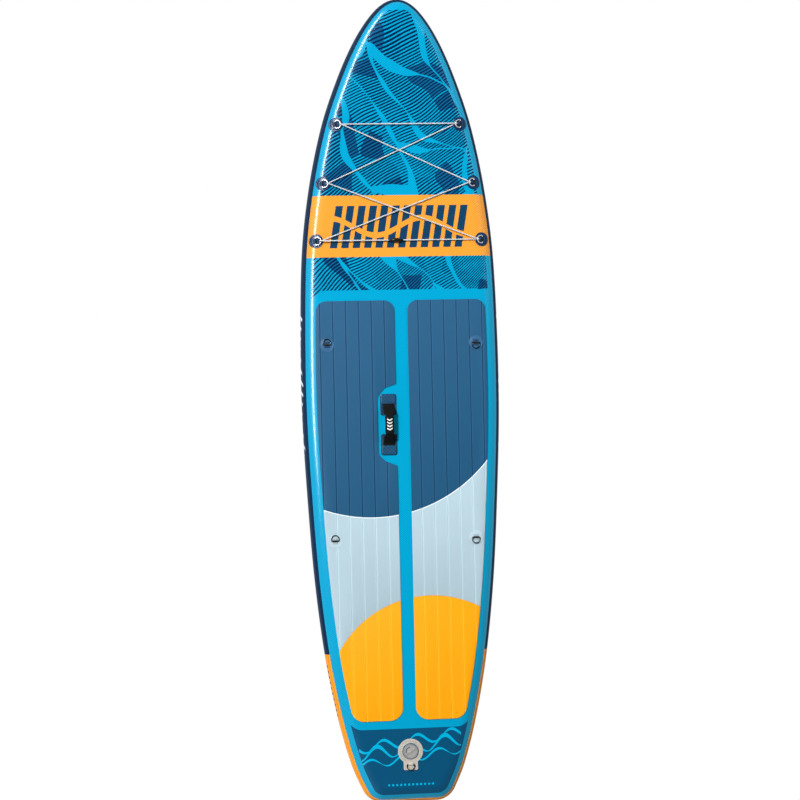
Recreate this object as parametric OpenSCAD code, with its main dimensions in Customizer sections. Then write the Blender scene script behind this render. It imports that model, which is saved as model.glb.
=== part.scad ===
// Inflatable stand up paddleboard with deck pads, bungee net, handle, valve and fins.
// +Z up, +Y towards the nose, +X to starboard. The origin is under the middle of the
// board, level with the tip of the centre fin.

/* [Hull] */
// Length from the nose tip to the tail
board_l = 3200; // [3100:50:3300]
// Width at the widest station, over the rail bands
board_w = 800; // [780:10:820]
// Thickness of the inflated hull
board_t = 150; // [140:5:155]
// Height that the nose tip rises above the flat part of the deck
nose_rise = 140; // [100:10:180]
// Thickness of the coated fabric of deck and bottom
skin_t = 1.2; // [1:0.1:1.8]
// Thickness of the band glued round the rail
band_t = 1.8; // [1.2:0.1:2.4]
// Half of the angle that the band covers on the round rail
band_angle = 37; // [30:1:42]

/* [Deck pads] */
// Thickness of the foam pads
pad_t = 4; // [3:0.5:6]
// Bare strip between the port and the starboard pad
pad_gap = 52; // [40:2:64]
// Bare margin from the outline to a pad
pad_margin = 56; // [50:2:66]
// Front edge of the pads
pad_front_y = 414; // [400:2:418]
// Rear edge of the pads
pad_rear_y = -1263; // [-1280:1:-1250]
// Distance between two grooves
groove_pitch = 51.5; // [48:0.5:54]
// Width of a groove
groove_w = 1.6; // [1:0.2:2.4]
// Depth of a groove
groove_depth = 1.4; // [1:0.1:2]

/* [Rings and bungee] */
// Diameter of the wire of a D-ring
ring_wire = 4; // [3:0.5:4.5]
// Diameter of the round patch under a ring
patch_d = 56; // [50:2:60]
// Thickness of a patch
patch_t = 1.4; // [1:0.2:2]
// Diameter of the bungee cord
bungee_d = 5; // [4:0.5:5]
// Pitch of the bungee rings above their patches
ring_pitch = 8; // [6:1:14]

/* [Handle] */
// Width of the webbing at its sewn ends
strap_w = 46; // [40:2:50]
// Height of the handle arch above its patches
handle_h = 30; // [26:1:36]
// Length of the padded grip
grip_l = 71; // [65:1:77]

/* [Fins] */
// Depth of the centre fin and its box below the hull
fin_depth = 230; // [210:5:250]
// Depth of a side fin below the hull
side_fin_depth = 115; // [100:5:130]
// Height of the fin box below the hull
box_h = 20; // [18:1:22]

/* [Hidden] */
// Port is -1 and starboard is 1
SIDES = [-1, 1];
// Distance off the centre line and Y of each pair of bungee rings, from the nose aft
BUNGEE_ROWS = [[248, 1111], [302, 880], [333, 653]];
// The same for the rings on the pads
RING_ROWS = [[299, 240], [283, -540]];

$fn = 48;
z_bottom = fin_depth;
z_deck = z_bottom + board_t;
skin_r = board_t / 2;
rail_r = skin_r + band_t;
z_mid = z_bottom + skin_r;
fit_gap = 0.05;

// Outline stations: distance aft of the nose tip and half width, for a board 3200 by 800
STATIONS = [
    [0, 0], [100, 133], [300, 235], [500, 304], [750, 357], [1000, 387], [1350, 399],
    [1650, 398.5], [2000, 383], [2300, 363], [2600, 329], [2850, 283], [3050, 229], [3150, 186]
];
LAST = len(STATIONS) - 1;
k_l = board_l / 3200;
k_w = board_w / 800;
rocker_y = 480;
tail_band_y = -996;

// The squared half width is smooth over the whole length, the round nose included
function station_d(i) = STATIONS[i][0] * k_l;
function station_s(i) = pow(STATIONS[i][1] * k_w, 2);
function station_slope(i) =
    let (a = max(i - 1, 0), b = min(i + 1, LAST))
    (station_s(b) - station_s(a)) / (station_d(b) - station_d(a));
function station_before(d, i = 0) = i >= LAST - 1 || d < station_d(i + 1) ? i : station_before(d, i + 1);
function hermite(t, a, b, ma, mb) =
    a * (2 * t * t * t - 3 * t * t + 1) + ma * (t * t * t - 2 * t * t + t)
    + b * (3 * t * t - 2 * t * t * t) + mb * (t * t * t - t * t);
function half_w(d) =
    let (
        i = station_before(d),
        span = station_d(i + 1) - station_d(i),
        t = (d - station_d(i)) / span,
        slope_a = station_slope(i) * span,
        slope_b = station_slope(i + 1) * span
    )
    sqrt(max(0, hermite(t, station_s(i), station_s(i + 1), slope_a, slope_b)));
function half_slope(d) = (half_w(d + 0.5) - half_w(max(0, d - 0.5))) / (0.5 + min(d, 0.5));

// The rear corner is an arc from the last station to the straight tail
corner_d = station_d(LAST);
corner_angle = atan(-half_slope(corner_d - 1));
corner_r = (board_l - corner_d) / (1 - sin(corner_angle));
corner_x = half_w(corner_d) - corner_r * cos(corner_angle);
corner_y = corner_r - board_l / 2;

// One point of the outline with its inward normal: [x, y, nx, ny]
function side_point(d) =
    d == 0 ? [0, board_l / 2, 0, -1]
    : let (s = half_slope(d), n = sqrt(1 + s * s)) [half_w(d), board_l / 2 - d, -1 / n, -s / n];
function corner_point(a) =
    [corner_x + corner_r * cos(a), corner_y - corner_r * sin(a), -cos(a), sin(a)];
// Sections close together round the nose and the rear corner, further apart between them
nose_d = 720;
nose_steps = 12;
side_steps = 14;
tail_steps = 5;
corner_steps = 6;
band_d = board_l / 2 - tail_band_y;
SIDE_D = [
    for (k = [0:nose_steps - 1]) nose_d * pow(k / nose_steps, 2),
    for (k = [0:side_steps - 1]) nose_d + (band_d - nose_d) * k / side_steps,
    for (k = [0:tail_steps - 1]) band_d + (corner_d - band_d) * k / tail_steps
];
CORNER_A = [for (k = [0:corner_steps]) corner_angle + (90 - corner_angle) * k / corner_steps];
SIDE = concat([for (d = SIDE_D) side_point(d)], [for (a = CORNER_A) corner_point(a)]);
OTHER_SIDE = [for (k = [len(SIDE) - 1:-1:1]) [-SIDE[k][0], SIDE[k][1], -SIDE[k][2], SIDE[k][3]]];
OUTLINE = concat(SIDE, OTHER_SIDE);
// Index in OUTLINE where the side bands end and the tail band starts
band_start = nose_steps + side_steps;
band_end = len(OUTLINE) - band_start;

function rise(y) = nose_rise * pow(max(0, y - rocker_y) / (board_l / 2 - rocker_y), 2);
// A point of the rail at radius r from its centre line, a degrees above the middle of the hull
function rail_point(o, r, a) =
    let (inset = rail_r - r * cos(a), y = o[1] + o[3] * inset)
    [o[0] + o[2] * inset, y, z_mid + r * sin(a) + rise(y)];
// Height of the deck's surface, its round shoulder included
function deck_z(x, y) =
    let (
        s = half_slope(board_l / 2 - y),
        inset = (half_w(board_l / 2 - y) - abs(x)) / sqrt(1 + s * s),
        over = max(0, rail_r - inset)
    )
    z_mid + sqrt(skin_r * skin_r - over * over) + rise(y);
function deck_tilt(x, y) =
    [atan(deck_z(x, y + 1) - deck_z(x, y)), -atan((deck_z(x + 1, y) - deck_z(x - 1, y)) / 2), 0];
function turned(v, a) =
    let (
        y = v[1] * cos(a[0]) - v[2] * sin(a[0]),
        z = v[1] * sin(a[0]) + v[2] * cos(a[0])
    )
    [v[0] * cos(a[1]) + z * sin(a[1]), y, -v[0] * sin(a[1]) + z * cos(a[1])];

// Two triangles on four corners in order: the second diagonal is used when flip is true
function quad(a, b, c, d, flip = false) = flip ? [[a, b, d], [b, c, d]] : [[a, b, c], [a, c, d]];
// A solid through a list of loops of points, closed into a ring or ended with two flat caps
module loft(loops, ring = false, flips = []) {
    n = len(loops[0]);
    m = len(loops);
    points = [for (l = loops) each l];
    spans = ring ? m : m - 1;
    sides = [
        for (i = [0:spans - 1]) for (j = [0:n - 1])
            let (a = i * n, b = ((i + 1) % m) * n, k = (j + 1) % n)
            each quad(a + j, a + k, b + k, b + j, len(search(j, flips)) > 0)
    ];
    ends = ring ? [] : [[for (j = [n - 1:-1:0]) j], [for (j = [0:n - 1]) (m - 1) * n + j]];
    polyhedron(points, concat(sides, ends), convexity = 6);
}

function unit(v) = v / norm(v);
// Loops of n points round a path, with one reference direction that the path never follows
function tube_loops(path, r, n, ref, ring) =
    let (m = len(path))
    [
        for (i = [0:m - 1])
            let (
                before = ring ? path[(i + m - 1) % m] : path[max(i - 1, 0)],
                after = ring ? path[(i + 1) % m] : path[min(i + 1, m - 1)],
                t = unit(unit(after - path[i] + [1e-9, 0, 0]) + unit(path[i] - before + [1e-9, 0, 0])),
                u = unit(cross(t, ref)),
                v = cross(u, t)
            )
            [for (k = [0:n - 1]) path[i] + r * (u * cos(360 * k / n) + v * sin(360 * k / n))]
    ];

// ---- hull ----

SKIN_A = concat(
    [0, band_angle / 3, band_angle * 2 / 3],
    [for (k = [0:3]) band_angle + (90 - band_angle) * k / 3]
);
// A sheet over the deck (up = 1) or under the bottom (up = -1), wrapped down to the rail's middle
module skin(up) {
    m = len(OUTLINE);
    n = len(SKIN_A);
    half = floor(m / 2);
    points = [
        for (r = [skin_r, skin_r - skin_t]) for (a = SKIN_A) for (o = OUTLINE) rail_point(o, r, up * a)
    ];
    inner = m * n;
    walls = [
        for (s = [0, inner]) for (i = [0:n - 2]) for (j = [0:m - 1])
            let (a = s + i * m, b = a + m, k = (j + 1) % m)
            each s == 0 ? quad(a + j, b + j, b + k, a + k, j >= half)
                : quad(a + j, a + k, b + k, b + j, j >= half)
    ];
    flats = [
        for (s = [0, inner]) for (j = [0:half - 1])
            let (a = s + (n - 1) * m, p = a + j, q = a + j + 1, u = a + (m - j) % m, v = a + m - j - 1)
            each s == 0 ? (j == 0 ? [[p, v, q]] : [[p, u, v], [p, v, q]])
                : (j == 0 ? [[p, q, v]] : [[p, v, u], [p, q, v]])
    ];
    rim = [
        for (j = [0:m - 1])
            let (k = (j + 1) % m)
            each [[j, k, inner + k], [j, inner + k, inner + j]]
    ];
    faces = concat(walls, flats, rim);
    polyhedron(points, up < 0 ? faces : [for (f = faces) [f[2], f[1], f[0]]], convexity = 8);
}

valve_y = -1387;
valve_hole_r = 27;
module deck_skin() {
    color([0.0, 0.66, 0.85]) difference() {
        skin(1);
        translate([0, valve_y, z_deck - 20]) cylinder(r = valve_hole_r, h = 40);
    }
}
module bottom_skin() {
    color([0.03, 0.5, 0.68]) skin(-1);
}

// Fabric inside the hull is tied from deck to bottom by threads: a few rows stand for all
thread_pitch = [100, 165];
module drop_stitch_threads() {
    color([0.9, 0.9, 0.86])
        for (i = [-2:2]) for (j = [0:9])
            translate([i * thread_pitch[0], -1250 + j * thread_pitch[1], z_bottom + skin_t])
                cylinder(r = 0.8, h = board_t - 2 * skin_t, $fn = 16);
}

// The band's section from its lower edge to its upper edge
BAND_A = [for (k = [0:6]) band_angle * (k / 3 - 1)];
module rail_band(columns) {
    loft([
        for (o = columns) concat(
            [for (a = BAND_A) rail_point(o, rail_r, a)],
            [for (k = [6:-1:0]) rail_point(o, skin_r + fit_gap, BAND_A[k])]
        )
    ], flips = [10, 11, 12]);
}
module rail_band_starboard() {
    color([0.02, 0.16, 0.3]) rail_band([for (k = [band_start:-1:0]) OUTLINE[k]]);
}
module rail_band_port() {
    color([0.02, 0.16, 0.3]) mirror([1, 0, 0]) rail_band([for (k = [band_start:-1:0]) OUTLINE[k]]);
}
module rail_band_tail() {
    color([0.95, 0.6, 0.15]) rail_band([for (k = [band_end:-1:band_start]) OUTLINE[k]]);
}

// ---- deck pads ----

// Corner b between a and c, rounded to b's own radius b[2]
function rounded_corner(a, b, c) =
    let (
        u = unit([a[0] - b[0], a[1] - b[1]]),
        v = unit([c[0] - b[0], c[1] - b[1]]),
        half = acos(max(-1, min(1, u * v))) / 2,
        centre = [b[0], b[1]] + unit(u + v) * b[2] / sin(half),
        start = [b[0], b[1]] + u * b[2] / tan(half) - centre,
        end = [b[0], b[1]] + v * b[2] / tan(half) - centre,
        a0 = atan2(start[1], start[0]),
        turn = atan2(start[0] * end[1] - start[1] * end[0], start * end)
    )
    [for (k = [0:6]) centre + b[2] * [cos(a0 + turn * k / 6), sin(a0 + turn * k / 6)]];
function rounded(points) = [
    for (i = [0:len(points) - 1])
        let (n = len(points), b = points[i])
        each b[2] == 0 ? [[b[0], b[1]]]
            : rounded_corner(points[(i + n - 1) % n], b, points[(i + 1) % n])
];

function pad_edge_x(y) = half_w(board_l / 2 - y) - pad_margin;
pad_front_r = 42;
pad_rear_r = 52;
// The bay in the port pad leaves room for the handle and the hand
BAY = [
    [-pad_gap / 2, -246, 8], [-72, -228, 20], [-102, -200, 25],
    [-102, 30, 25], [-72, 64, 20], [-pad_gap / 2, 80, 8]
];
module pad_shape(side) {
    edge = [for (y = [pad_rear_y + 140:150:pad_front_y - 90]) [side * pad_edge_x(y), y, 0]];
    front_out = [side * pad_edge_x(pad_front_y), pad_front_y, pad_front_r];
    rear_out = [side * pad_edge_x(pad_rear_y), pad_rear_y, pad_rear_r];
    inner = side * pad_gap / 2;
    inner_front = [[inner, pad_front_y, pad_front_r]];
    inner_rear = [[inner, pad_rear_y, pad_rear_r]];
    middle = side < 0 ? [for (k = [len(BAY) - 1:-1:0]) BAY[k]] : [];
    polygon(rounded(concat(inner_front, middle, inner_rear, [rear_out], edge, [front_out])));
}
navy_circle = [-124, 140, 590];
yellow_circle = [92, -1192, 424];
butt_gap = 0.1;
module disc(c, grow) {
    translate([c[0], c[1]]) circle(r = c[2] + grow, $fn = 96);
}
module grooves() {
    for (s = [-1, 1]) for (k = [0:5])
        translate([s * (68 + k * groove_pitch) - groove_w / 2, pad_rear_y - 5, z_deck + pad_t - groove_depth])
            cube([groove_w, pad_front_y - pad_rear_y + 10, groove_depth + 1]);
}
module pad(side, band) {
    difference() {
        translate([0, 0, z_deck]) linear_extrude(pad_t) {
            if (band == 0) intersection() {
                pad_shape(side);
                disc(navy_circle, 0);
            }
            if (band == 1) difference() {
                pad_shape(side);
                disc(navy_circle, butt_gap);
                disc(yellow_circle, butt_gap);
            }
            if (band == 2) intersection() {
                pad_shape(side);
                disc(yellow_circle, 0);
            }
        }
        grooves();
    }
}
PAD_COLOURS = [[0.2, 0.4, 0.55], [0.72, 0.81, 0.85], [1.0, 0.67, 0.05]];
module pad_port_front() { color(PAD_COLOURS[0]) pad(-1, 0); }
module pad_port_middle() { color(PAD_COLOURS[1]) pad(-1, 1); }
module pad_port_rear() { color(PAD_COLOURS[2]) pad(-1, 2); }
module pad_starboard_front() { color(PAD_COLOURS[0]) pad(1, 0); }
module pad_starboard_middle() { color(PAD_COLOURS[1]) pad(1, 1); }
module pad_starboard_rear() { color(PAD_COLOURS[2]) pad(1, 2); }

// ---- rings ----

wire_r = ring_wire / 2;
ring_half = 15;
ring_side = 8;
elbow_r = 3;
ring_reach = ring_side + ring_half;
loop_w = 20;
loop_wall = 1.4;
// Height of a ring's bar above the patch that carries it
bar_h = wire_r + fit_gap + 1.4;

// Bar along X through the origin, bow towards +Y
module d_ring() {
    bar = 2 * (ring_half - elbow_r);
    translate([-bar / 2, 0, 0]) rotate([0, 90, 0]) cylinder(r = wire_r, h = bar, $fn = 24);
    for (s = [-1, 1]) {
        translate([s * (ring_half - elbow_r), elbow_r, 0])
            rotate([0, 0, s > 0 ? -90 : 180])
                rotate_extrude(angle = 90) translate([elbow_r, 0]) circle(r = wire_r, $fn = 24);
        translate([s * ring_half, elbow_r, 0]) rotate([-90, 0, 0])
            cylinder(r = wire_r, h = ring_side - elbow_r, $fn = 24);
    }
    translate([0, ring_side, 0])
        rotate_extrude(angle = 180) translate([ring_half, 0]) circle(r = wire_r, $fn = 24);
}
// Webbing folded over the bar and welded down on both sides of it, standing on z = 0
module ring_loop() {
    difference() {
        union() {
            translate([-loop_w / 2, -11, 0]) cube([loop_w, 22, 0.8]);
            translate([-loop_w / 2, -wire_r - loop_wall, 0]) cube([loop_w, 2 * (wire_r + loop_wall), bar_h]);
            translate([-loop_w / 2, 0, bar_h]) rotate([0, 90, 0]) cylinder(r = wire_r + loop_wall, h = loop_w);
        }
        translate([-loop_w, 0, bar_h]) rotate([0, 90, 0]) cylinder(r = wire_r + fit_gap, h = 2 * loop_w);
        translate([-loop_w, -11, -2]) cube([2 * loop_w, 22, 2]);
    }
}

// A round patch that follows the shoulder of the deck, as rings of points from its middle outwards
patch_lift = 0.5;
module deck_patch(x, y) {
    steps = 20;
    radii = [for (k = [1:3]) patch_d / 2 * k / 3];
    function at(r, a, h) = let (px = x + r * cos(a), py = y + r * sin(a)) [px, py, deck_z(px, py) + h];
    tops = [for (r = radii) [for (k = [0:steps - 1]) at(r, 360 * k / steps, patch_lift + patch_t)]];
    lows = [for (r = radii) [for (k = [0:steps - 1]) at(r, 360 * k / steps, patch_lift)]];
    middle = [at(0, 0, patch_lift + patch_t), at(0, 0, patch_lift)];
    points = concat([for (l = tops) each l], [for (l = lows) each l], middle);
    low = 3 * steps;
    faces = [
        for (j = [0:steps - 1])
            let (k = (j + 1) % steps)
            each concat(
                [[2 * low, k, j], [2 * low + 1, low + j, low + k]],
                [
                    for (i = [0:1])
                        let (a = i * steps, b = a + steps)
                        each [
                            [a + j, a + k, b + k], [a + j, b + k, b + j],
                            [low + a + j, low + b + k, low + a + k],
                            [low + a + j, low + b + j, low + b + k]
                        ]
                ],
                let (a = 2 * steps) [[a + j, a + k, low + a + k], [a + j, low + a + k, low + a + j]]
            )
    ];
    polyhedron(points, faces, convexity = 4);
}

// The frame of a bungee ring: on top of its patch, bow towards the middle of the board
module at_bungee(side, row) {
    x = side * BUNGEE_ROWS[row][0];
    y = BUNGEE_ROWS[row][1];
    translate([x, y, deck_z(x, y)]) rotate(deck_tilt(x, y))
        translate([0, 0, patch_lift + patch_t]) rotate([0, 0, side * 90]) children();
}
module bungee_patch(side, row) {
    color([0.1, 0.22, 0.36]) deck_patch(side * BUNGEE_ROWS[row][0], BUNGEE_ROWS[row][1]);
}
module bungee_ring(side, row) {
    color([0.75, 0.76, 0.78]) at_bungee(side, row)
        translate([0, 0, bar_h]) rotate([ring_pitch, 0, 0]) d_ring();
}
module bungee_patch_port_front() { bungee_patch(-1, 0); }
module bungee_patch_port_mid() { bungee_patch(-1, 1); }
module bungee_patch_port_rear() { bungee_patch(-1, 2); }
module bungee_patch_starboard_front() { bungee_patch(1, 0); }
module bungee_patch_starboard_mid() { bungee_patch(1, 1); }
module bungee_patch_starboard_rear() { bungee_patch(1, 2); }
module bungee_ring_port_front() { bungee_ring(-1, 0); }
module bungee_ring_port_mid() { bungee_ring(-1, 1); }
module bungee_ring_port_rear() { bungee_ring(-1, 2); }
module bungee_ring_starboard_front() { bungee_ring(1, 0); }
module bungee_ring_starboard_mid() { bungee_ring(1, 1); }
module bungee_ring_starboard_rear() { bungee_ring(1, 2); }
module bungee_loops() {
    color([0.1, 0.2, 0.33]) for (side = SIDES) for (row = [0:2]) at_bungee(side, row) ring_loop();
}

// ---- bungee cord ----

bungee_r = bungee_d / 2;
turn_r = wire_r + bungee_r + 0.15;
// Middle of the wire at the far end of a bungee ring's bow
function bow_point(side, row) =
    let (
        x = side * BUNGEE_ROWS[row][0],
        y = BUNGEE_ROWS[row][1],
        tilt = deck_tilt(x, y),
        local = [
            -side * ring_reach * cos(ring_pitch), 0,
            patch_lift + patch_t + bar_h + ring_reach * sin(ring_pitch)
        ]
    )
    [x, y, deck_z(x, y)] + turned(local, tilt);
// The cord turns back round the bow: from below it to above it when up is 1
function turn_back(side, row, up) = [
    for (a = [-90:30:90])
        bow_point(side, row) + turn_r * [side * cos(a), 0, up * sin(a)]
];
joiner_at = [-15, 656];
joiner_l = 59;
joiner_r = 8.5;
// One closed loop: rear, mid, front, front, mid, rear
CORD_PATH = concat(
    turn_back(-1, 2, -1), turn_back(1, 1, 1), turn_back(-1, 0, -1),
    turn_back(1, 0, -1), turn_back(-1, 1, 1), turn_back(1, 2, -1)
);
cord_end = CORD_PATH[len(CORD_PATH) - 1];
cord_start = CORD_PATH[0];
joiner_share = (cord_end[0] - joiner_at[0]) / (cord_end[0] - cord_start[0]);
joiner_mid = cord_end + (cord_start - cord_end) * joiner_share;
module bungee_cord() {
    color([0.8, 0.82, 0.84]) loft(tube_loops(CORD_PATH, bungee_r, 8, [0, 1, 0], true), ring = true);
}
// A spindle that grips both ends of the cord
module bungee_joiner() {
    along = unit(cord_start - cord_end);
    color([0.06, 0.06, 0.07]) translate(joiner_mid)
        rotate([0, 0, atan2(along[1], along[0])]) rotate([0, 90 - asin(along[2]), 0])
            rotate_extrude() polygon([
                [bungee_r + fit_gap, -joiner_l / 2], [3.6, -joiner_l / 2], [joiner_r, -joiner_l / 8],
                [joiner_r, joiner_l / 8], [3.6, joiner_l / 2], [bungee_r + fit_gap, joiner_l / 2]
            ]);
}

// ---- rings on the pads ----

z_pad = z_deck + pad_t;
module ring_patch(side, row) {
    color(PAD_COLOURS[row]) translate([side * RING_ROWS[row][0], RING_ROWS[row][1], z_pad])
        cylinder(r = patch_d / 2, h = patch_t);
}
// Port rings lie towards the nose, starboard rings towards the tail
module deck_ring(side, row) {
    color([0.75, 0.76, 0.78])
        translate([side * RING_ROWS[row][0], RING_ROWS[row][1], z_pad + patch_t + bar_h])
            rotate([0, 0, side > 0 ? 180 : 0]) d_ring();
}
module ring_patch_port_front() { ring_patch(-1, 0); }
module ring_patch_port_rear() { ring_patch(-1, 1); }
module ring_patch_starboard_front() { ring_patch(1, 0); }
module ring_patch_starboard_rear() { ring_patch(1, 1); }
module deck_ring_port_front() { deck_ring(-1, 0); }
module deck_ring_port_rear() { deck_ring(-1, 1); }
module deck_ring_starboard_front() { deck_ring(1, 0); }
module deck_ring_starboard_rear() { deck_ring(1, 1); }
module ring_loops() {
    color([0.3, 0.45, 0.58]) for (side = SIDES) for (row = RING_ROWS)
        translate([side * row[0], row[1], z_pad + patch_t]) ring_loop();
}

// ---- handle ----

handle_at = [-58.5, -82];
handle_patch = [66, 86, 1.6];
handle_patch_dy = 79.5;
cover = [60, 38, 3.9];
cover_dy = handle_patch_dy + 22;
strap_t = 2;
strap_reach = 113;
neck_w = 30;
neck_l = grip_l + 15;
z_strap = z_deck + handle_patch[2] + fit_gap + strap_t / 2;
grip_w = 36;
grip_t = 16;

module rounded_plate(size, r) {
    x = size[0] / 2;
    y = size[1] / 2;
    linear_extrude(size[2]) polygon(rounded([[-x, -y, r], [x, -y, r], [x, y, r], [-x, y, r]]));
}
module handle_base(end) {
    color([0.13, 0.33, 0.48])
        translate([handle_at[0], handle_at[1] + end * handle_patch_dy, z_deck]) rounded_plate(handle_patch, 10);
}
// Room under a cover flap for the end of the strap, open towards the grip
module pocket(end) {
    size = [strap_w + 0.4, 36, strap_t + 2 * fit_gap + 1.1];
    translate([-size[0] / 2, -end * 6 - size[1] / 2, -1]) cube(size);
}
module handle_cover(end) {
    color([0.16, 0.37, 0.52])
        translate([handle_at[0], handle_at[1] + end * cover_dy, z_deck + handle_patch[2]])
            difference() {
                rounded_plate(cover, 8);
                pocket(end);
            }
}
module handle_patch_front() { handle_base(1); }
module handle_patch_rear() { handle_base(-1); }
module handle_cover_front() { handle_cover(1); }
module handle_cover_rear() { handle_cover(-1); }

// The arch: level in the grip, a smooth slope on each side and flat on the patches
strap_flat = (grip_l + 1) / 2;
strap_foot = 80;
slope_steps = 8;
function arch_z(s) =
    handle_h * (1 + cos(180 * max(0, min(1, (abs(s) - strap_flat) / (strap_foot - strap_flat))))) / 2;
SLOPE_S = [for (k = [0:slope_steps]) strap_flat + (strap_foot - strap_flat) * k / slope_steps];
ARCH_S = concat([-strap_reach], [for (k = [slope_steps:-1:0]) -SLOPE_S[k]], SLOPE_S, [strap_reach]);
function arch_normal(s) = unit([arch_z(s - 0.5) - arch_z(s + 0.5), 1]) * strap_t / 2;
module handle_strap() {
    upper = [for (s = ARCH_S) [s, arch_z(s)] + arch_normal(s)];
    lower = [
        for (k = [len(ARCH_S) - 1:-1:0]) [ARCH_S[k], arch_z(ARCH_S[k])] - arch_normal(ARCH_S[k])
    ];
    color([0.16, 0.16, 0.17]) translate([handle_at[0], handle_at[1], z_strap]) difference() {
        rotate([90, 0, 90]) translate([0, 0, -strap_w / 2])
            linear_extrude(strap_w) polygon(concat(upper, lower));
        for (s = [-1, 1])
            translate([s * (neck_w + strap_w) / 2, 0, handle_h]) cube([strap_w, neck_l, 30], center = true);
    }
}
module handle_grip() {
    sleeve = [neck_w + 0.6, strap_t + 0.6, 2 * grip_l];
    color([0.12, 0.12, 0.13]) translate([handle_at[0], handle_at[1] + grip_l / 2, z_strap + handle_h])
        rotate([90, 0, 0]) difference() {
            rounded_plate([grip_w, grip_t, grip_l], 7.5);
            cube(sleeve, center = true);
        }
}

// ---- valve ----

plate_r = 50;
plate_t = 2;
tab_w = 57;
tab_y = -75;
body_r = 32;
bore_r = 22;
z_flange = z_deck + plate_t;
module valve_plate() {
    color([0.76, 0.73, 0.68]) translate([0, valve_y, z_deck]) linear_extrude(plate_t) difference() {
        union() {
            circle(r = plate_r, $fn = 72);
            polygon(rounded([
                [-tab_w / 2, -30, 0], [-tab_w / 2, tab_y, 6], [tab_w / 2, tab_y, 6], [tab_w / 2, -30, 0]
            ]));
        }
        circle(r = body_r + 0.5);
    }
}
// Heights from here are measured from the deck's surface
barrel_l = 48;
seat_dz = -34;
seat_r = 12;
seat_t = 3;
guide_dz = -24;
guide_h = 4;
button_dz = -6;
stem_r = 3;
stem_l = 36.5;
nut_h = 8;
valve_seal_t = 3;
module valve_body() {
    color([0.16, 0.2, 0.24]) translate([0, valve_y, z_deck]) {
        difference() {
            union() {
                cylinder(r = body_r, h = plate_t);
                translate([0, 0, -barrel_l]) cylinder(r = valve_hole_r - 0.2, h = barrel_l);
            }
            translate([0, 0, seat_dz]) cylinder(r = bore_r, h = barrel_l);
            translate([0, 0, -barrel_l - 1]) cylinder(r = seat_r, h = barrel_l);
            translate([0, 0, seat_dz - seat_t - barrel_l]) cylinder(r = bore_r, h = barrel_l);
        }
        difference() {
            union() {
                translate([0, 0, guide_dz]) cylinder(r = 2 * stem_r, h = guide_h);
                for (a = [0, 120, 240]) rotate([0, 0, a])
                    translate([stem_r + 1, -1.5, guide_dz]) cube([bore_r - stem_r, 3, guide_h]);
            }
            translate([0, 0, guide_dz - 1]) cylinder(r = stem_r + fit_gap, h = guide_h + 2);
        }
    }
}
module valve_nut() {
    color([0.2, 0.2, 0.22]) translate([0, valve_y, z_deck - skin_t - 0.1 - nut_h]) difference() {
        cylinder(r = body_r + 6, h = nut_h);
        translate([0, 0, -1]) cylinder(r = valve_hole_r - 0.1, h = nut_h + 2);
    }
}
module valve_stem() {
    color([0.85, 0.85, 0.83]) translate([0, valve_y, z_deck + button_dz]) {
        cylinder(r = 7, h = 2);
        translate([0, 0, 0.5 - stem_l]) cylinder(r = stem_r, h = stem_l);
    }
}
module valve_seal() {
    translate([0, valve_y, z_deck + seat_dz - seat_t - 0.1 - valve_seal_t])
        color([0.1, 0.1, 0.1]) difference() {
            cylinder(r = 17, h = valve_seal_t);
            translate([0, 0, -1]) cylinder(r = stem_r + 0.02, h = valve_seal_t + 2);
        }
}
spring_turns = 4;
spring_r = 5;
spring_wire_r = 0.6;
spring_low = guide_dz + guide_h + spring_wire_r + 0.1;
spring_high = button_dz - spring_wire_r - 0.1;
module valve_spring() {
    steps = 12 * spring_turns;
    rise_step = (spring_high - spring_low) / steps;
    path = [
        for (k = [0:steps]) [spring_r * cos(30 * k), spring_r * sin(30 * k), spring_low + rise_step * k]
    ];
    color([0.7, 0.7, 0.72]) translate([0, valve_y, z_deck])
        loft(tube_loops(path, spring_wire_r, 6, [0, 0, 1], false));
}
seal_wire_r = 1.25;
cap_r = 29;
cap_t = 4;
module cap_seal() {
    color([0.1, 0.1, 0.1]) translate([0, valve_y, z_flange + seal_wire_r + 0.01])
        rotate_extrude() translate([25, 0]) circle(r = seal_wire_r, $fn = 20);
}
cap_bar = [46, 7, 2.6];
cap_bar_angle = 32;
module valve_cap() {
    color([0.74, 0.74, 0.72]) translate([0, valve_y, z_flange + 2 * seal_wire_r + 0.02]) {
        cylinder(r = cap_r, h = cap_t);
        rotate([0, 0, cap_bar_angle]) translate([-cap_bar[0] / 2, -cap_bar[1] / 2, cap_t])
            cube([cap_bar[0], cap_bar[1], cap_bar[2]]);
        translate([0, 0, -10]) difference() {
            cylinder(r = bore_r - 0.2, h = 10);
            translate([0, 0, -1]) cylinder(r = 18, h = 11);
        }
    }
}

leash_y = valve_y - 52;
module leash_keeper() {
    color([0.78, 0.75, 0.7]) translate([0, leash_y, z_flange]) ring_loop();
}
module leash_ring() {
    color([0.1, 0.1, 0.1]) translate([0, leash_y, z_flange + bar_h]) rotate([0, 0, 180]) d_ring();
}

// ---- fins ----

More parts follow.
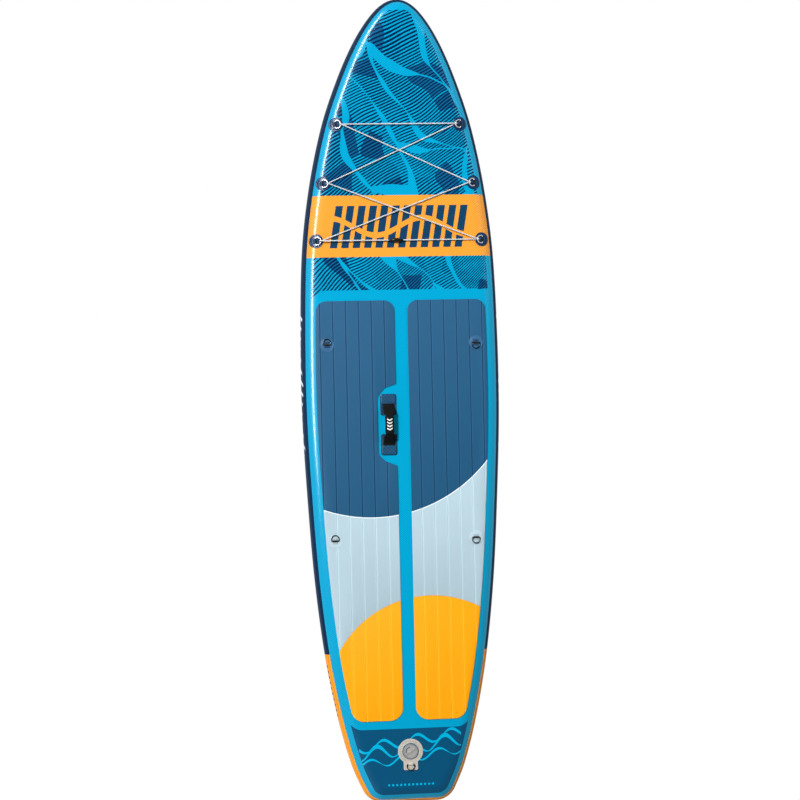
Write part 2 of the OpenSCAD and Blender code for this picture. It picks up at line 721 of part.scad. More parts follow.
box_y = -1330;
box_l = 240;
box_w = 38;
slot_l = 200;
slot_w = 9.6;
flange_t = 2;
z_box = z_bottom - box_h;
track = [14, 4.4, 9];
blade_t = 9;
module long_plate(l, w, h) {
    translate([-w / 2, -l / 2 + w / 2, 0]) cube([w, l - w, h]);
    for (s = [-1, 1]) translate([0, s * (l - w) / 2, 0]) cylinder(r = w / 2, h = h);
}
module fin_box() {
    color([0.09, 0.09, 0.1]) translate([0, box_y, z_box]) difference() {
        union() {
            long_plate(box_l, box_w, box_h - flange_t);
            translate([0, 0, box_h - flange_t]) long_plate(box_l + 60, 96, flange_t);
        }
        translate([-slot_w / 2, -slot_l / 2, -1]) cube([slot_w, slot_l, box_h - flange_t + 1]);
        translate([-track[0] / 2, -slot_l / 2, track[2]]) cube([track[0], slot_l, track[1]]);
    }
}

// Centre fin in side view: leading edge, tip and trailing edge as two curves
fin_base = [-1272, -1418];
tip_y = -1452;
function bezier(a, b, c, d, n) = [
    for (k = [0:n]) let (t = k / n, s = 1 - t)
        a * s * s * s + b * 3 * s * s * t + c * 3 * s * t * t + d * t * t * t
];
module blade(front, rear, tip, z_top, z_tip, thick) {
    z_rise = z_top - z_tip;
    z_half = z_tip + 0.5 * z_rise;
    z_low = z_tip + 0.02 * z_rise;
    lead = bezier([front, z_top], [front - 22, z_half], [tip + 60, z_tip], [tip, z_tip], 12);
    trail = bezier([tip, z_tip], [tip - 16, z_low], [rear + 34, z_half], [rear, z_top], 12);
    wedge = [[-thick / 2, z_top + 0.1], [thick / 2, z_top + 0.1], [1.4, z_tip - 1], [-1.4, z_tip - 1]];
    intersection() {
        translate([-20, 0, 0]) rotate([90, 0, 90]) linear_extrude(40) polygon(concat(lead, trail));
        translate([0, tip - 300, 0]) rotate([90, 0, 180]) linear_extrude(700) polygon(wedge);
    }
}
screw_y = -1256;
pin_y = -1400;
pin_z = z_box + track[2] + track[1] / 2;
// The tab holds the pin and the tongue holds the screw: rear end, length and height
tab = [-1418, 118, 16];
tongue = [-1300.5, 52, 7];
module centre_fin() {
    color([0.1, 0.1, 0.11]) difference() {
        union() {
            blade(fin_base[0], fin_base[1], tip_y, z_box - 0.3, 0, blade_t);
            for (part = [tab, tongue])
                translate([-blade_t / 2, part[0], z_box - 0.4]) cube([blade_t, part[1], part[2] + 0.4]);
        }
        translate([0, screw_y, z_box - 10]) cylinder(r = 2.1, h = 40);
        translate([-20, pin_y, pin_z]) rotate([0, 90, 0]) cylinder(r = 2, h = 40);
    }
}
module fin_pin() {
    pin_l = track[0] - 0.6;
    color([0.72, 0.72, 0.74]) translate([-pin_l / 2, pin_y, pin_z])
        rotate([0, 90, 0]) cylinder(r = 1.98, h = pin_l);
}
module fin_screw() {
    color([0.72, 0.72, 0.74]) translate([0, screw_y, z_box - 0.5]) {
        translate([0, 0, -2.6]) cylinder(r = 4, h = 2.5);
        translate([0, 0, -0.1]) cylinder(r = 1.95, h = 16);
    }
}
module fin_nut() {
    color([0.7, 0.6, 0.35]) translate([0, screw_y, z_box + track[2] + 0.2]) difference() {
        translate([-6.8, -6, 0]) cube([13.6, 12, 4]);
        translate([0, 0, -1]) cylinder(r = 2, h = 6);
    }
}
side_fin_at = [165, -1180];
side_base = [150, 26, 3];
// A side fin's front and rear at its root and its tip, along the board
side_blade = [60, -62, -72];
z_side_base = z_bottom - 0.02 - side_base[2];
module side_fin(side) {
    color([0.1, 0.1, 0.11]) translate([side * side_fin_at[0], side_fin_at[1], 0])
        rotate([0, 0, side * 2]) {
            translate([0, 0, z_side_base]) long_plate(side_base[0], side_base[1], side_base[2]);
            blade(side_blade[0], side_blade[1], side_blade[2],
                z_side_base + 0.2, z_bottom - side_fin_depth, 7);
        }
}
module side_fin_port() { side_fin(-1); }
module side_fin_starboard() { side_fin(1); }

deck_skin();
bottom_skin();
drop_stitch_threads();
rail_band_port();
rail_band_starboard();
rail_band_tail();
pad_port_front();
pad_port_middle();
pad_port_rear();
pad_starboard_front();
pad_starboard_middle();
pad_starboard_rear();
bungee_patch_port_front();
bungee_patch_port_mid();
bungee_patch_port_rear();
bungee_patch_starboard_front();
bungee_patch_starboard_mid();
bungee_patch_starboard_rear();
bungee_ring_port_front();
bungee_ring_port_mid();
bungee_ring_port_rear();
bungee_ring_starboard_front();
bungee_ring_starboard_mid();
bungee_ring_starboard_rear();
bungee_loops();
bungee_cord();
bungee_joiner();
ring_patch_port_front();
ring_patch_port_rear();
ring_patch_starboard_front();
ring_patch_starboard_rear();
deck_ring_port_front();
deck_ring_port_rear();
deck_ring_starboard_front();
deck_ring_starboard_rear();
ring_loops();
handle_patch_front();
handle_patch_rear();
handle_cover_front();
handle_cover_rear();
handle_strap();
handle_grip();
valve_plate();
valve_body();
valve_nut();
valve_stem();
valve_spring();
valve_seal();
cap_seal();
valve_cap();
leash_keeper();
leash_ring();
fin_box();
centre_fin();
fin_pin();
fin_screw();
fin_nut();
side_fin_port();
side_fin_starboard();
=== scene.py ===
"""Looks of an inflatable stand up paddleboard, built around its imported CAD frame.

Shapes are worked out in millimetres in the CAD frame (+Y to the nose, +X to starboard, +Z up)
and turned into metres when a mesh is made. Places inside a paint are in metres.
"""
from bisect import bisect_right
from functools import partialmethod
from math import acos, atan, atan2, copysign, cos, exp, hypot, pi, radians, sin, sqrt, tan, tau

import bmesh
import bpy
import numpy as np
from mathutils import Matrix, Vector
from mathutils.geometry import delaunay_2d_cdt


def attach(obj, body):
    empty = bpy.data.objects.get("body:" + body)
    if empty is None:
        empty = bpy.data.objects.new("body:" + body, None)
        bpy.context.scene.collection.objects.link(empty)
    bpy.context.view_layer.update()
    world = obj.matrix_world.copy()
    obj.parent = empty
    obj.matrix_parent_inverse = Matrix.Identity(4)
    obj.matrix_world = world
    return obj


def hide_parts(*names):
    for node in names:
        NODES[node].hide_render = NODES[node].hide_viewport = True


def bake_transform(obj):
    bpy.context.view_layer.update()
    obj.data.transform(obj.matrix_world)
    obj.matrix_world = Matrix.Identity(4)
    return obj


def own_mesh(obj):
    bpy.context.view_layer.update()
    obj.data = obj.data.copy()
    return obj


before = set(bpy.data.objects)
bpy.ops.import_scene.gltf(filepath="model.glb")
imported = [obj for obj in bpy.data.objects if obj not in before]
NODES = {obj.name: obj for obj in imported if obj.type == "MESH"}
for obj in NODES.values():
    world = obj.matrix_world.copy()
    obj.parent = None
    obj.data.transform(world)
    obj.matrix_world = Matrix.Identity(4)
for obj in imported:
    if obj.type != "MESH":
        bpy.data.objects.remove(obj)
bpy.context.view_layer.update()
MM = 0.001

# ---- driving dimensions, in millimetres, as in the CAD part ----

LENGTH = 3200
SKIN_R = 75
RAIL_R = 76.8
SKIN_T = 1.2
BAND_ANGLE = 37
Z_BOTTOM = 230
Z_MID = Z_BOTTOM + SKIN_R
Z_DECK = Z_MID + SKIN_R
NOSE_RISE = 140
ROCKER_Y = 480
TAIL_BAND_Y = -996
PAD_T = 4
Z_PAD = Z_DECK + PAD_T
STATIONS = (
    (0, 0), (100, 133), (300, 235), (500, 304), (750, 357), (1000, 387), (1350, 399),
    (1650, 398.5), (2000, 383), (2300, 363), (2600, 329), (2850, 283), (3050, 229), (3150, 186),
)
LAST = len(STATIONS) - 1
BUNGEE_ROWS = ((248, 1111), (302, 880), (333, 653))
RING_ROWS = ((299, 240), (283, -540))
VALVE_Y = -1387
VALVE_HOLE_R = 27.2
LEASH_Y = VALVE_Y - 52
SIDES = ((-1, "port"), (1, "starboard"))
ENDS = ((1, "front"), (-1, "rear"))


def move(place):
    return Matrix.Translation(place)


def turned(angle, axis="Z"):
    return Matrix.Rotation(angle, 4, axis)


def facing(direction):
    """The turn that points +Z along a direction."""
    return Vector(direction).to_track_quat("Z", "Y").to_matrix().to_4x4()


def placed(name, data):
    """A new object in the scene."""
    obj = bpy.data.objects.new(name, data)
    bpy.context.scene.collection.objects.link(obj)
    return obj


def modify(obj, kind, **settings):
    """Adds a modifier with these settings."""
    modifier = obj.modifiers.new(kind.lower(), kind)
    for key, value in settings.items():
        setattr(modifier, key, value)


def spread(start, end, steps):
    """Even values from start to end, both included."""
    return [start + (end - start) * k / steps for k in range(steps + 1)]


def circle(steps):
    """Cosine and sine at even steps round a circle."""
    return [(cos(tau * k / steps), sin(tau * k / steps)) for k in range(steps)]


# ---- camera and lights ----

CAMERA_DISTANCE = 8.0
CAMERA_LENS = 89.34
CAMERA_SIDE = radians(6.5)
CAMERA_ROLL = radians(-1.25)
CAMERA_PAN = (-0.003, 0.0153)
BOARD_MIDDLE = (0, 0, 0.38)
KEY_SIDE = (-0.50, 0.37, 0.80)
# name: direction from the target, distance, size, power, target and the kind of ray that is left out
LAMPS = {
    "key": (KEY_SIDE, 9.0, (1.1, 1.1), 950, BOARD_MIDDLE, "glossy"),
    "strip": ((-0.777, 0.0, 0.629), 3.2, (4.6, 0.3), 180, (-0.36, 1.9, 0.38), "diffuse"),
    "glint": (KEY_SIDE, 9.0, (1.1, 1.1), 700, BOARD_MIDDLE, "diffuse"),
    "fill": ((0.85, 0.45, 0.5), 4.6, (2.5, 2.5), 100, BOARD_MIDDLE, "glossy"),
    "back": ((-0.5, -0.8, 0.45), 5.0, (2.5, 2.5), 60, BOARD_MIDDLE, "glossy"),
}


def make_camera():
    """Straight above the deck, a little to port, with a long lens."""
    camera = placed("camera", bpy.data.cameras.new("camera"))
    camera.data.sensor_width = 36
    camera.data.lens = CAMERA_LENS
    turn = turned(-CAMERA_SIDE, "Y") @ turned(CAMERA_ROLL)
    camera.matrix_world = move((0, 0, Z_MID * MM)) @ turn @ move((*CAMERA_PAN, CAMERA_DISTANCE))
    bpy.context.scene.camera = camera


def make_studio():
    """Softboxes, each of which leaves out one kind of ray, in a room the camera sees as plain white."""
    world = bpy.data.worlds.new("studio")
    bpy.context.scene.world = world
    world.use_nodes = True
    sky = Paint.of_tree(world.node_tree)
    up = sky.split(sky.node("TexCoord").outputs["Generated"])[2]
    glow = sky.mix(up.ramp(0.1, 0.9), (0.15, 0.155, 0.16), (0.02, 0.02, 0.021))
    glow = sky.mix(up.ramp(-0.5, 0.0), (0.75, 0.76, 0.77), glow)
    seen = Value(sky, sky.node("LightPath").outputs["Is Camera Ray"])
    shade = sky.node("Background", Color=sky.mix(seen, glow, (1.0, 1.0, 1.0)), Strength=1.0)
    sky.node("OutputWorld", Surface=shade.outputs[0])
    for name, (direction, distance, size, power, target, leaves_out) in LAMPS.items():
        lamp = placed(name, bpy.data.lights.new(name, "AREA"))
        lamp.data.shape = "RECTANGLE"
        lamp.data.size, lamp.data.size_y = size
        lamp.data.energy = power
        lamp.matrix_world = move(target) @ facing(direction) @ move((0, 0, distance))
        setattr(lamp, "visible_" + leaves_out, False)
    bpy.context.scene.view_settings.view_transform = "Standard"


# ---- shader arithmetic ----

def srgb(red, green, blue):
    """An 8-bit display colour as scene-linear numbers."""
    shares = (c / 255 for c in (red, green, blue))
    return tuple(c / 12.92 if c <= 0.04045 else ((c + 0.055) / 1.055) ** 2.4 for c in shares)


def darker(colour, share):
    return tuple(c * share for c in colour)


class Value:
    """A number inside a shader. Arithmetic on it adds Math nodes."""

    def __init__(self, paint, socket):
        self.paint, self.socket = paint, socket

    def math(self, operation, *others, clamp=False):
        node = self.paint.node("Math")
        node.operation, node.use_clamp = operation, clamp
        for socket, value in zip(node.inputs, (self, *others)):
            self.paint.feed(socket, value)
        return Value(self.paint, node.outputs[0])

    __add__ = __radd__ = partialmethod(math, "ADD")
    __mul__ = __rmul__ = partialmethod(math, "MULTIPLY")
    __sub__ = partialmethod(math, "SUBTRACT")
    __truediv__ = partialmethod(math, "DIVIDE")
    fract = partialmethod(math, "FRACT")
    abs = partialmethod(math, "ABSOLUTE")
    sin = partialmethod(math, "SINE")
    power = partialmethod(math, "POWER")
    min = partialmethod(math, "MINIMUM")
    max = partialmethod(math, "MAXIMUM")

    def __rsub__(self, other):
        return self * -1 + other

    def ramp(self, low, high):
        """0 below low, 1 above high and straight between them."""
        return ((self - low) / (high - low)).math("ADD", 0.0, clamp=True)

    def above(self, edge, soft=0.0006):
        """1 where the value passes edge, as a printed edge this many metres soft."""
        return ((self - edge) / soft).math("ADD", 0.5, clamp=True)

    def within(self, low, high):
        return self.above(low).min(1 - self.above(high))

    def wave(self, pitch):
        """A triangle wave from 0 to 1 and back in each pitch."""
        return ((self / pitch).fract() - 0.5).abs() * 2


class Paint:
    """One procedural material, or another node tree: its Principled shader, coordinates and slot."""

    def __init__(self, name, roughness, specular=0.5, slot=None, coords=None, **inputs):
        self.slot = slot or name
        self.material = bpy.data.materials.new(name)
        self.material.use_nodes = True
        self.tree = self.material.node_tree
        self.shader = self.tree.nodes["Principled BSDF"]
        self.fill(self.shader, Roughness=roughness, Specular_IOR_Level=specular, **inputs)
        self.point = self.attribute(coords, "Vector") if coords else self.node("TexCoord").outputs["Object"]
        self.x, self.y, self.z = self.split(self.point)

    @classmethod
    def of_tree(cls, tree):
        paint = cls.__new__(cls)
        paint.tree = tree
        tree.nodes.clear()
        return paint

    def feed(self, socket, value):
        """Links a Value or an output to the input, or sets it to a number or a colour."""
        value = getattr(value, "socket", value)
        if isinstance(value, bpy.types.NodeSocket):
            self.tree.links.new(value, socket)
        else:
            socket.default_value = (*value, 1) if isinstance(value, tuple) else value

    def fill(self, node, **inputs):
        for key, value in inputs.items():
            self.feed(node.inputs[key.replace("_", " ")], value)
        return node

    def node(self, kind, **inputs):
        return self.fill(self.tree.nodes.new("ShaderNode" + kind), **inputs)

    def split(self, vector):
        return [Value(self, socket) for socket in self.node("SeparateXYZ", Vector=vector).outputs]

    def join(self, x, y, z=0.0):
        return self.node("CombineXYZ", X=x, Y=y, Z=z).outputs[0]

    def attribute(self, name, output="Fac"):
        node = self.node("Attribute")
        node.attribute_name = name
        return node.outputs[output] if output == "Vector" else Value(self, node.outputs[output])

    def noise(self, scale, detail=2.0, vector=None):
        node = self.node("TexNoise", Scale=scale, Detail=detail, Vector=vector or self.point)
        return Value(self, node.outputs["Fac"])

    def cells(self, scale, vector):
        """A flat net of cells: three random numbers for each cell, and the distance to the cell's edge."""
        nodes = [self.node("TexVoronoi", Scale=scale, Vector=vector) for _ in range(2)]
        for node in nodes:
            node.voronoi_dimensions = "2D"
        nodes[1].feature = "DISTANCE_TO_EDGE"
        return (*self.split(nodes[0].outputs["Color"]), Value(self, nodes[1].outputs["Distance"]))

    def mix(self, factor, first, second):
        node = self.node("Mix")
        node.data_type = "RGBA"
        for index, value in ((0, factor), (6, first), (7, second)):
            self.feed(node.inputs[index], value)
        return node.outputs[2]

    def colour(self, value):
        self.fill(self.shader, Base_Color=value)

    def rough(self, value):
        self.fill(self.shader, Roughness=value)

    def bump(self, height, distance, strength=1.0):
        """height goes from 0 to 1 and stands for distance metres."""
        node = self.node("Bump", Strength=strength, Distance=distance, Height=height)
        self.fill(self.shader, Normal=node.outputs[0])

    def speckle(self, colour, amount, scale):
        """The colour with slow, slight changes of brightness."""
        level = self.noise(scale, 4) * (2 * amount) + (1 - amount)
        return self.node("HueSaturation", Value=level, Color=colour).outputs[0]


# ---- mesh helpers: a mesh is a list of points and a list of faces ----

def piece(name, mesh, paint, replaces=(), body="board", sharp=40, **attributes):
    """A finished object from a mesh in millimetres. An attribute is a list of numbers or vectors by point."""
    points, faces = mesh
    mesh = bpy.data.meshes.new(name)
    mesh.from_pydata([tuple(float(c) * MM for c in p) for p in points], [], [list(f) for f in faces])
    for key, values in attributes.items():
        kind, field = ("FLOAT_VECTOR", "vector") if np.ndim(values[0]) else ("FLOAT", "value")
        layer = mesh.attributes.new(key, kind, "POINT")
        layer.data.foreach_set(field, np.asarray(values, np.float32).ravel())
    edit = bmesh.new()
    edit.from_mesh(mesh)
    bmesh.ops.recalc_face_normals(edit, faces=edit.faces)
    edit.to_mesh(mesh)
    edit.free()
    mesh.polygons.foreach_set("use_smooth", [True] * len(mesh.polygons))
    mesh.set_sharp_from_angle(angle=radians(sharp))
    mesh.materials.append(paint.material)
    obj = placed(name, mesh)
    if body:
        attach(obj, body)
    if replaces:
        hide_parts(*replaces)
    return obj


def tube_faces(rows, columns, closed=False):
    """Quads over rows of points that each go round a tube; closed joins the last row to the first."""
    return [
        (i * columns + j, i * columns + (j + 1) % columns,
         (i + 1) % rows * columns + (j + 1) % columns, (i + 1) % rows * columns + j)
        for i in range(rows if closed else rows - 1) for j in range(columns)
    ]


def loft(loops, ring=False):
    """A closed solid through loops of points, joined end to end if ring is true."""
    rows, columns = len(loops), len(loops[0])
    faces = tube_faces(rows, columns, ring)
    if not ring:
        faces += [tuple(range(columns))[::-1], tuple(range((rows - 1) * columns, rows * columns))]
    return [p for loop in loops for p in loop], faces


def moved(matrix, mesh):
    return [tuple(matrix @ Vector(p)) for p in mesh[0]], mesh[1]


def joined(meshes):
    points, faces = [], []
    for some_points, some_faces in meshes:
        base = len(points)
        points += some_points
        faces += [tuple(base + i for i in f) for f in some_faces]
    return points, faces


def baked(obj):
    """Applies the object's modifiers to its mesh."""
    graph = bpy.context.evaluated_depsgraph_get()
    mesh = bpy.data.meshes.new_from_object(obj.evaluated_get(graph), depsgraph=graph)
    obj.modifiers.clear()
    obj.data = mesh
    return obj


def smoothstep(t):
    t = min(1.0, max(0.0, t))
    return t * t * (3 - 2 * t)


# ---- shape of the hull ----

STATION_D = [d for d, _ in STATIONS]
STATION_S = [w * w for _, w in STATIONS]


def station_slope(i):
    a, b = max(i - 1, 0), min(i + 1, LAST)
    return (STATION_S[b] - STATION_S[a]) / (STATION_D[b] - STATION_D[a])


def half_width(d):
    """Half of the hull's width at d behind the nose tip: the squared width is a smooth curve."""
    d = min(max(d, 0.0), STATION_D[LAST])
    i = min(bisect_right(STATION_D, d) - 1, LAST - 1)
    span = STATION_D[i + 1] - STATION_D[i]
    t = (d - STATION_D[i]) / span
    curve = (
        STATION_S[i] * (2 * t**3 - 3 * t * t + 1) + station_slope(i) * span * (t**3 - 2 * t * t + t)
        + STATION_S[i + 1] * (3 * t * t - 2 * t**3) + station_slope(i + 1) * span * (t**3 - t * t)
    )
    return sqrt(max(0.0, curve))


def half_slope(d):
    return (half_width(d + 0.5) - half_width(max(0, d - 0.5))) / (0.5 + min(d, 0.5))


CORNER_D = STATION_D[LAST]
CORNER_ANGLE = atan(-half_slope(CORNER_D - 1))
CORNER_R = (LENGTH - CORNER_D) / (1 - sin(CORNER_ANGLE))
CORNER_X = half_width(CORNER_D) - CORNER_R * cos(CORNER_ANGLE)
CORNER_Y = CORNER_R - LENGTH / 2
NOSE_D = 720
BAND_D = LENGTH / 2 - TAIL_BAND_Y


def side_point(d):
    """Point of the outline with its inward normal."""
    if d == 0:
        return (0, LENGTH / 2, 0, -1)
    slope = half_slope(d)
    n = hypot(1, slope)
    return (half_width(d), LENGTH / 2 - d, -1 / n, -slope / n)


def corner_point(a):
    return (CORNER_X + CORNER_R * cos(a), CORNER_Y - CORNER_R * sin(a), -cos(a), sin(a))


def outline_side():
    """The starboard half of the outline, from the nose tip to the tail, and where its bands change."""
    points = [side_point(NOSE_D * t ** 2) for t in spread(0, 1, 60)[:-1]]
    points += [side_point(d) for d in spread(NOSE_D, BAND_D, 60)[:-1]]
    change = len(points)
    points += [side_point(d) for d in spread(BAND_D, CORNER_D, 24)[:-1]]
    return points + [corner_point(a) for a in spread(CORNER_ANGLE, pi / 2, 20)], change


def mirrored(points):
    return [(-x, y, -nx, ny) for x, y, nx, ny in points]


SIDE, BAND_CHANGE = outline_side()
OUTLINE = SIDE + mirrored(SIDE[:0:-1])


def rise(y):
    return NOSE_RISE * (max(0.0, y - ROCKER_Y) / (LENGTH / 2 - ROCKER_Y)) ** 2


def rail_point(o, r, a):
    """A point at radius r from the rail's centre line, a degrees above the middle of the hull."""
    inset = RAIL_R - r * cos(radians(a))
    y = o[1] + o[3] * inset
    return (o[0] + o[2] * inset, y, Z_MID + r * sin(radians(a)) + rise(y))


def deck_z(x, y):
    d = LENGTH / 2 - y
    inset = (half_width(d) - abs(x)) / hypot(1, half_slope(d))
    over = max(0.0, RAIL_R - inset)
    return Z_MID + sqrt(max(0.0, SKIN_R * SKIN_R - over * over)) + rise(y)


# ---- hull skins ----

PRINT_INSET = 40
BAND_Y = (588, 832)
HATCH_END_Y = 456
BLUE = srgb(0, 168, 214)
SHADE = srgb(12, 100, 146)
INK = srgb(0, 36, 80)
ORANGE = srgb(255, 168, 58)
BLACK = (0.0, 0.0, 0.0)
# place along the tail, height of the swell, its phase and the brush's width, in metres
BRUSH_WAVES = ((-1.345, 0.020, 0.3, 0.0062), (-1.372, 0.026, 1.5, 0.0085), (-1.412, 0.017, 2.6, 0.0050))


def emboss(paint, pitch, slant=0.8):
    """Fine diagonal ribs pressed into coated fabric or foam."""
    return (paint.x * slant - paint.y).wave(pitch)


def hatch(paint):
    """The hatched print: where its dark facets lie and where its ink lines do."""
    x, y = paint.x, paint.y
    bend = paint.noise(2.8, 1.0)
    swirl = paint.noise(4.2, 1.0, paint.join(y, x, 0.4))
    across = x * 0.83 + y * 0.55 + (bend - 0.5) * 0.30
    along = y * 0.83 - x * 0.55 + (swirl - 0.5) * 0.24
    leaf = paint.join(across * 1.9, along * 0.8)
    _, turn, _, edge = paint.cells(3.1, leaf)
    clear = edge.above(paint.noise(5.5, 1.0).ramp(0.42, 0.72) * 0.10 + 0.010, 0.004)
    shard = paint.join(across * 1.5 + 0.7, along * 1.1)
    dark, thick, _, edge = paint.cells(7.5, shard)
    facet = dark.above(0.70, 0.01).min(clear).min(edge.above(0.03, 0.004))
    slope = (0.85 - y).max(0.0) * 0.6 + 0.60 + (turn - 0.5) * 0.36
    rows = y - x * slope + (bend - 0.5) * 0.10 + (swirl - 0.5) * 0.05
    lines = (1 - rows.wave(0.0130).above(thick * 0.18 + 0.45, 0.12)).min(clear)
    return facet, lines


def bars(paint):
    """A row of slanted bars with a wave cut through them, in the middle of the orange band."""
    x, y = paint.x, paint.y
    slanted = x - (y - 0.708) * 0.16
    row = (slanted / 0.0455).fract().within(0.16, 0.80)
    block = slanted.abs().within(-1, 0.272).min(y.within(0.624, 0.791))
    crest = 0.708 + (x * 17.0).sin() * 0.034
    return row.min(block).min((y - crest).abs().above(0.011))


def brush_strokes(paint):
    """The tail's print: three waves as if drawn with a brush, over a row of dots."""
    x, y = paint.x, paint.y
    strokes = []
    for level, swell, phase, width in BRUSH_WAVES:
        crest = y - (x * 46.0 + phase).sin() * swell - x * 0.13 - level
        brush = ((x * 23.0 + phase).sin().abs() * 0.8 + 0.2) * width
        strokes.append(1 - (crest.abs() - brush).above(0.0))
    waves = strokes[0].max(strokes[1]).max(strokes[2]).min(x.abs().within(-1, 0.205))
    dots = (x / 0.016).fract().within(0.25, 0.75).min(y.within(-1.524, -1.516))
    return waves.max(dots.min(x.abs().within(-1, 0.096)))


def print_paint():
    """The printed deck: blue with hatching at the nose, an orange band and a dark tail."""
    paint = Paint("deck_print", 0.38, 0.1, slot="deck_pvc",
                  Coat_Weight=0.7, Coat_Roughness=0.205, Coat_IOR=1.7)
    x, y = paint.x, paint.y
    shape = paint.attribute("inset").above(PRINT_INSET * MM)
    shape = shape.max(x.abs().within(-1, 0.13).min(y.within(-1.5, -1.2)))
    flare = (x.abs() - 0.300).max(0.0)
    zone = shape.min(y.above(HATCH_END_Y * MM - flare * flare * 11)).min(1 - y.above(1.549))
    facet, lines = hatch(paint)
    colour = paint.mix(zone.min(facet), BLUE, SHADE)
    colour = paint.mix(zone.min(lines), colour, INK)
    band = y.within(BAND_Y[0] * MM, BAND_Y[1] * MM)
    colour = paint.mix(band, colour, paint.mix(bars(paint), ORANGE, srgb(20, 66, 102)))
    rise_x = (x.abs() - 0.190).max(0.0)
    tail = shape.min(1 - y.above(rise_x * rise_x * 10 - 1.296))
    block = paint.mix(brush_strokes(paint), srgb(11, 85, 125), srgb(0, 186, 232))
    colour = paint.mix(tail, colour, block)
    ribs = emboss(paint, 0.0090)
    # painted shade: the ribs are painted darker as well as pressed, to bring out their relief
    colour = paint.mix(ribs.ramp(0.2, 0.8) * 0.26, colour, BLACK)
    paint.colour(paint.speckle(colour, 0.03, 5.0))
    paint.rough(paint.noise(60, 3) * 0.10 + 0.34)
    paint.bump(ribs, 0.0003, 0.5)
    return paint


def skin(name, up, paint, node):
    """A sheet over the deck (up 1) or under the bottom (up -1), wrapped down to the rail's middle."""
    angles = [up * a for a in (0, 12, 24, 30, 35, *spread(38, 90, 17))]
    points = [rail_point(o, SKIN_R, a) for a in angles for o in OUTLINE]
    insets = [(RAIL_R - SKIN_R * cos(radians(a))) * MM for a in angles for _ in OUTLINE]
    columns = len(OUTLINE)
    faces = tube_faces(len(angles), columns)
    top = len(points) - columns
    faces.append((top, top + columns - 1, top + 1))
    faces += [
        (top + j, top + columns - j, top + columns - j - 1, top + j + 1) for j in range(1, len(SIDE) - 1)
    ]
    obj = piece(name, (points, faces), paint, [node], inset=insets)
    modify(obj, "SOLIDIFY", thickness=SKIN_T * MM, offset=-1)
    return baked(obj)


def cut_valve_hole(obj):
    place = (0, VALVE_Y * MM, Z_DECK * MM)
    bpy.ops.mesh.primitive_cylinder_add(radius=VALVE_HOLE_R * MM, depth=0.2, vertices=96, location=place)
    cutter = bpy.context.object
    modify(obj, "BOOLEAN", operation="DIFFERENCE", solver="EXACT", object=cutter)
    baked(obj)
    obj.data.set_sharp_from_angle(angle=radians(40))
    bpy.data.objects.remove(cutter)


def make_hull():
    deck = skin("deck", 1, print_paint(), "deck_skin")
    cut_valve_hole(deck)
    lit = bpy.data.collections.new("all but the deck")
    lit.objects.link(deck)
    lit.collection_objects[0].light_linking.link_state = "EXCLUDE"
    bpy.data.objects["glint"].light_linking.receiver_collection = lit
    under = Paint("bottom_pvc", 0.38, 0.4)
    stripe = under.x.abs().within(-1, 0.012).max(under.y.within(BAND_Y[0] * MM, BAND_Y[1] * MM))
    under.colour(under.speckle(under.mix(stripe, srgb(0, 150, 196), srgb(233, 238, 240)), 0.03, 5.0))
    under.bump(emboss(under, 0.0062), 0.00025, 0.55)
    skin("bottom", -1, under, "bottom_skin")


# ---- rail bands ----

def band_section():
    """Angle and radius round the rail band: a base layer with a narrower second layer on it."""
    base, second = SKIN_R + 1.05, RAIL_R
    outer = [(BAND_ANGLE, SKIN_R + 0.05), (BAND_ANGLE, SKIN_R + 0.7), (BAND_ANGLE - 0.5, base)]
    outer += [(a, base) for a in (32, 29, 28.4)] + [(28.0, second - 0.2)]
    outer += [(a, second) for a in (27.5, 22, 16.5, 11, 5.5)]
    inner = [(a, SKIN_R + 0.05) for a in (-26, -13, 0, 13, 26)]
    return outer + [(0, second)] + [(-a, r) for a, r in reversed(outer)] + inner


def rail_paint(name, dark, light, marks):
    paint = Paint(name, 0.45, 0.1)
    height = paint.attribute("height")
    colour = paint.mix(height.abs().within(27.4, 28.6), dark, darker(dark, 0.55))
    colour = paint.mix(marks(paint, height), colour, light)
    paint.colour(paint.speckle(colour, 0.05, 14.0))
    paint.bump(paint.noise(900, 2), 0.00012, 0.5)
    return paint


def dashes(paint, height):
    """Rows of slanted dashes amidships, in place of lettering."""
    dash = ((paint.y + height * 0.0009) / 0.043).fract().within(0.2, 0.5)
    tall = 13 + (paint.y * 21.0).sin() * 9
    near = 1 - (height.abs() - tall).above(0.0, 0.8)
    return dash.min(near).min(paint.y.within(-0.20, 0.37))


def ticks(paint, height):
    """A row of short marks along the tail band."""
    tick = (paint.y / 0.022).fract().within(0.3, 0.7)
    return tick.min(height.within(6, 16)).min(paint.y.within(-1.25, -1.04))


def rail_band(word, columns, paint):
    section = band_section()
    mesh = loft([[rail_point(o, r, a) for a, r in section] for o in columns])
    height = [a for _ in columns for a, _ in section]
    piece(f"rail_{word}", mesh, paint, [f"rail_band_{word}"], sharp=32, height=height)


def make_rails():
    navy = rail_paint("rail_navy", srgb(0, 40, 72), srgb(226, 234, 240), dashes)
    orange = rail_paint("rail_orange", srgb(250, 158, 34), srgb(20, 40, 70), ticks)
    side = SIDE[:BAND_CHANGE + 1]
    rail_band("starboard", side, navy)
    rail_band("port", mirrored(side), navy)
    rail_band("tail", OUTLINE[BAND_CHANGE:len(OUTLINE) - BAND_CHANGE + 1], orange)


# ---- deck pads ----

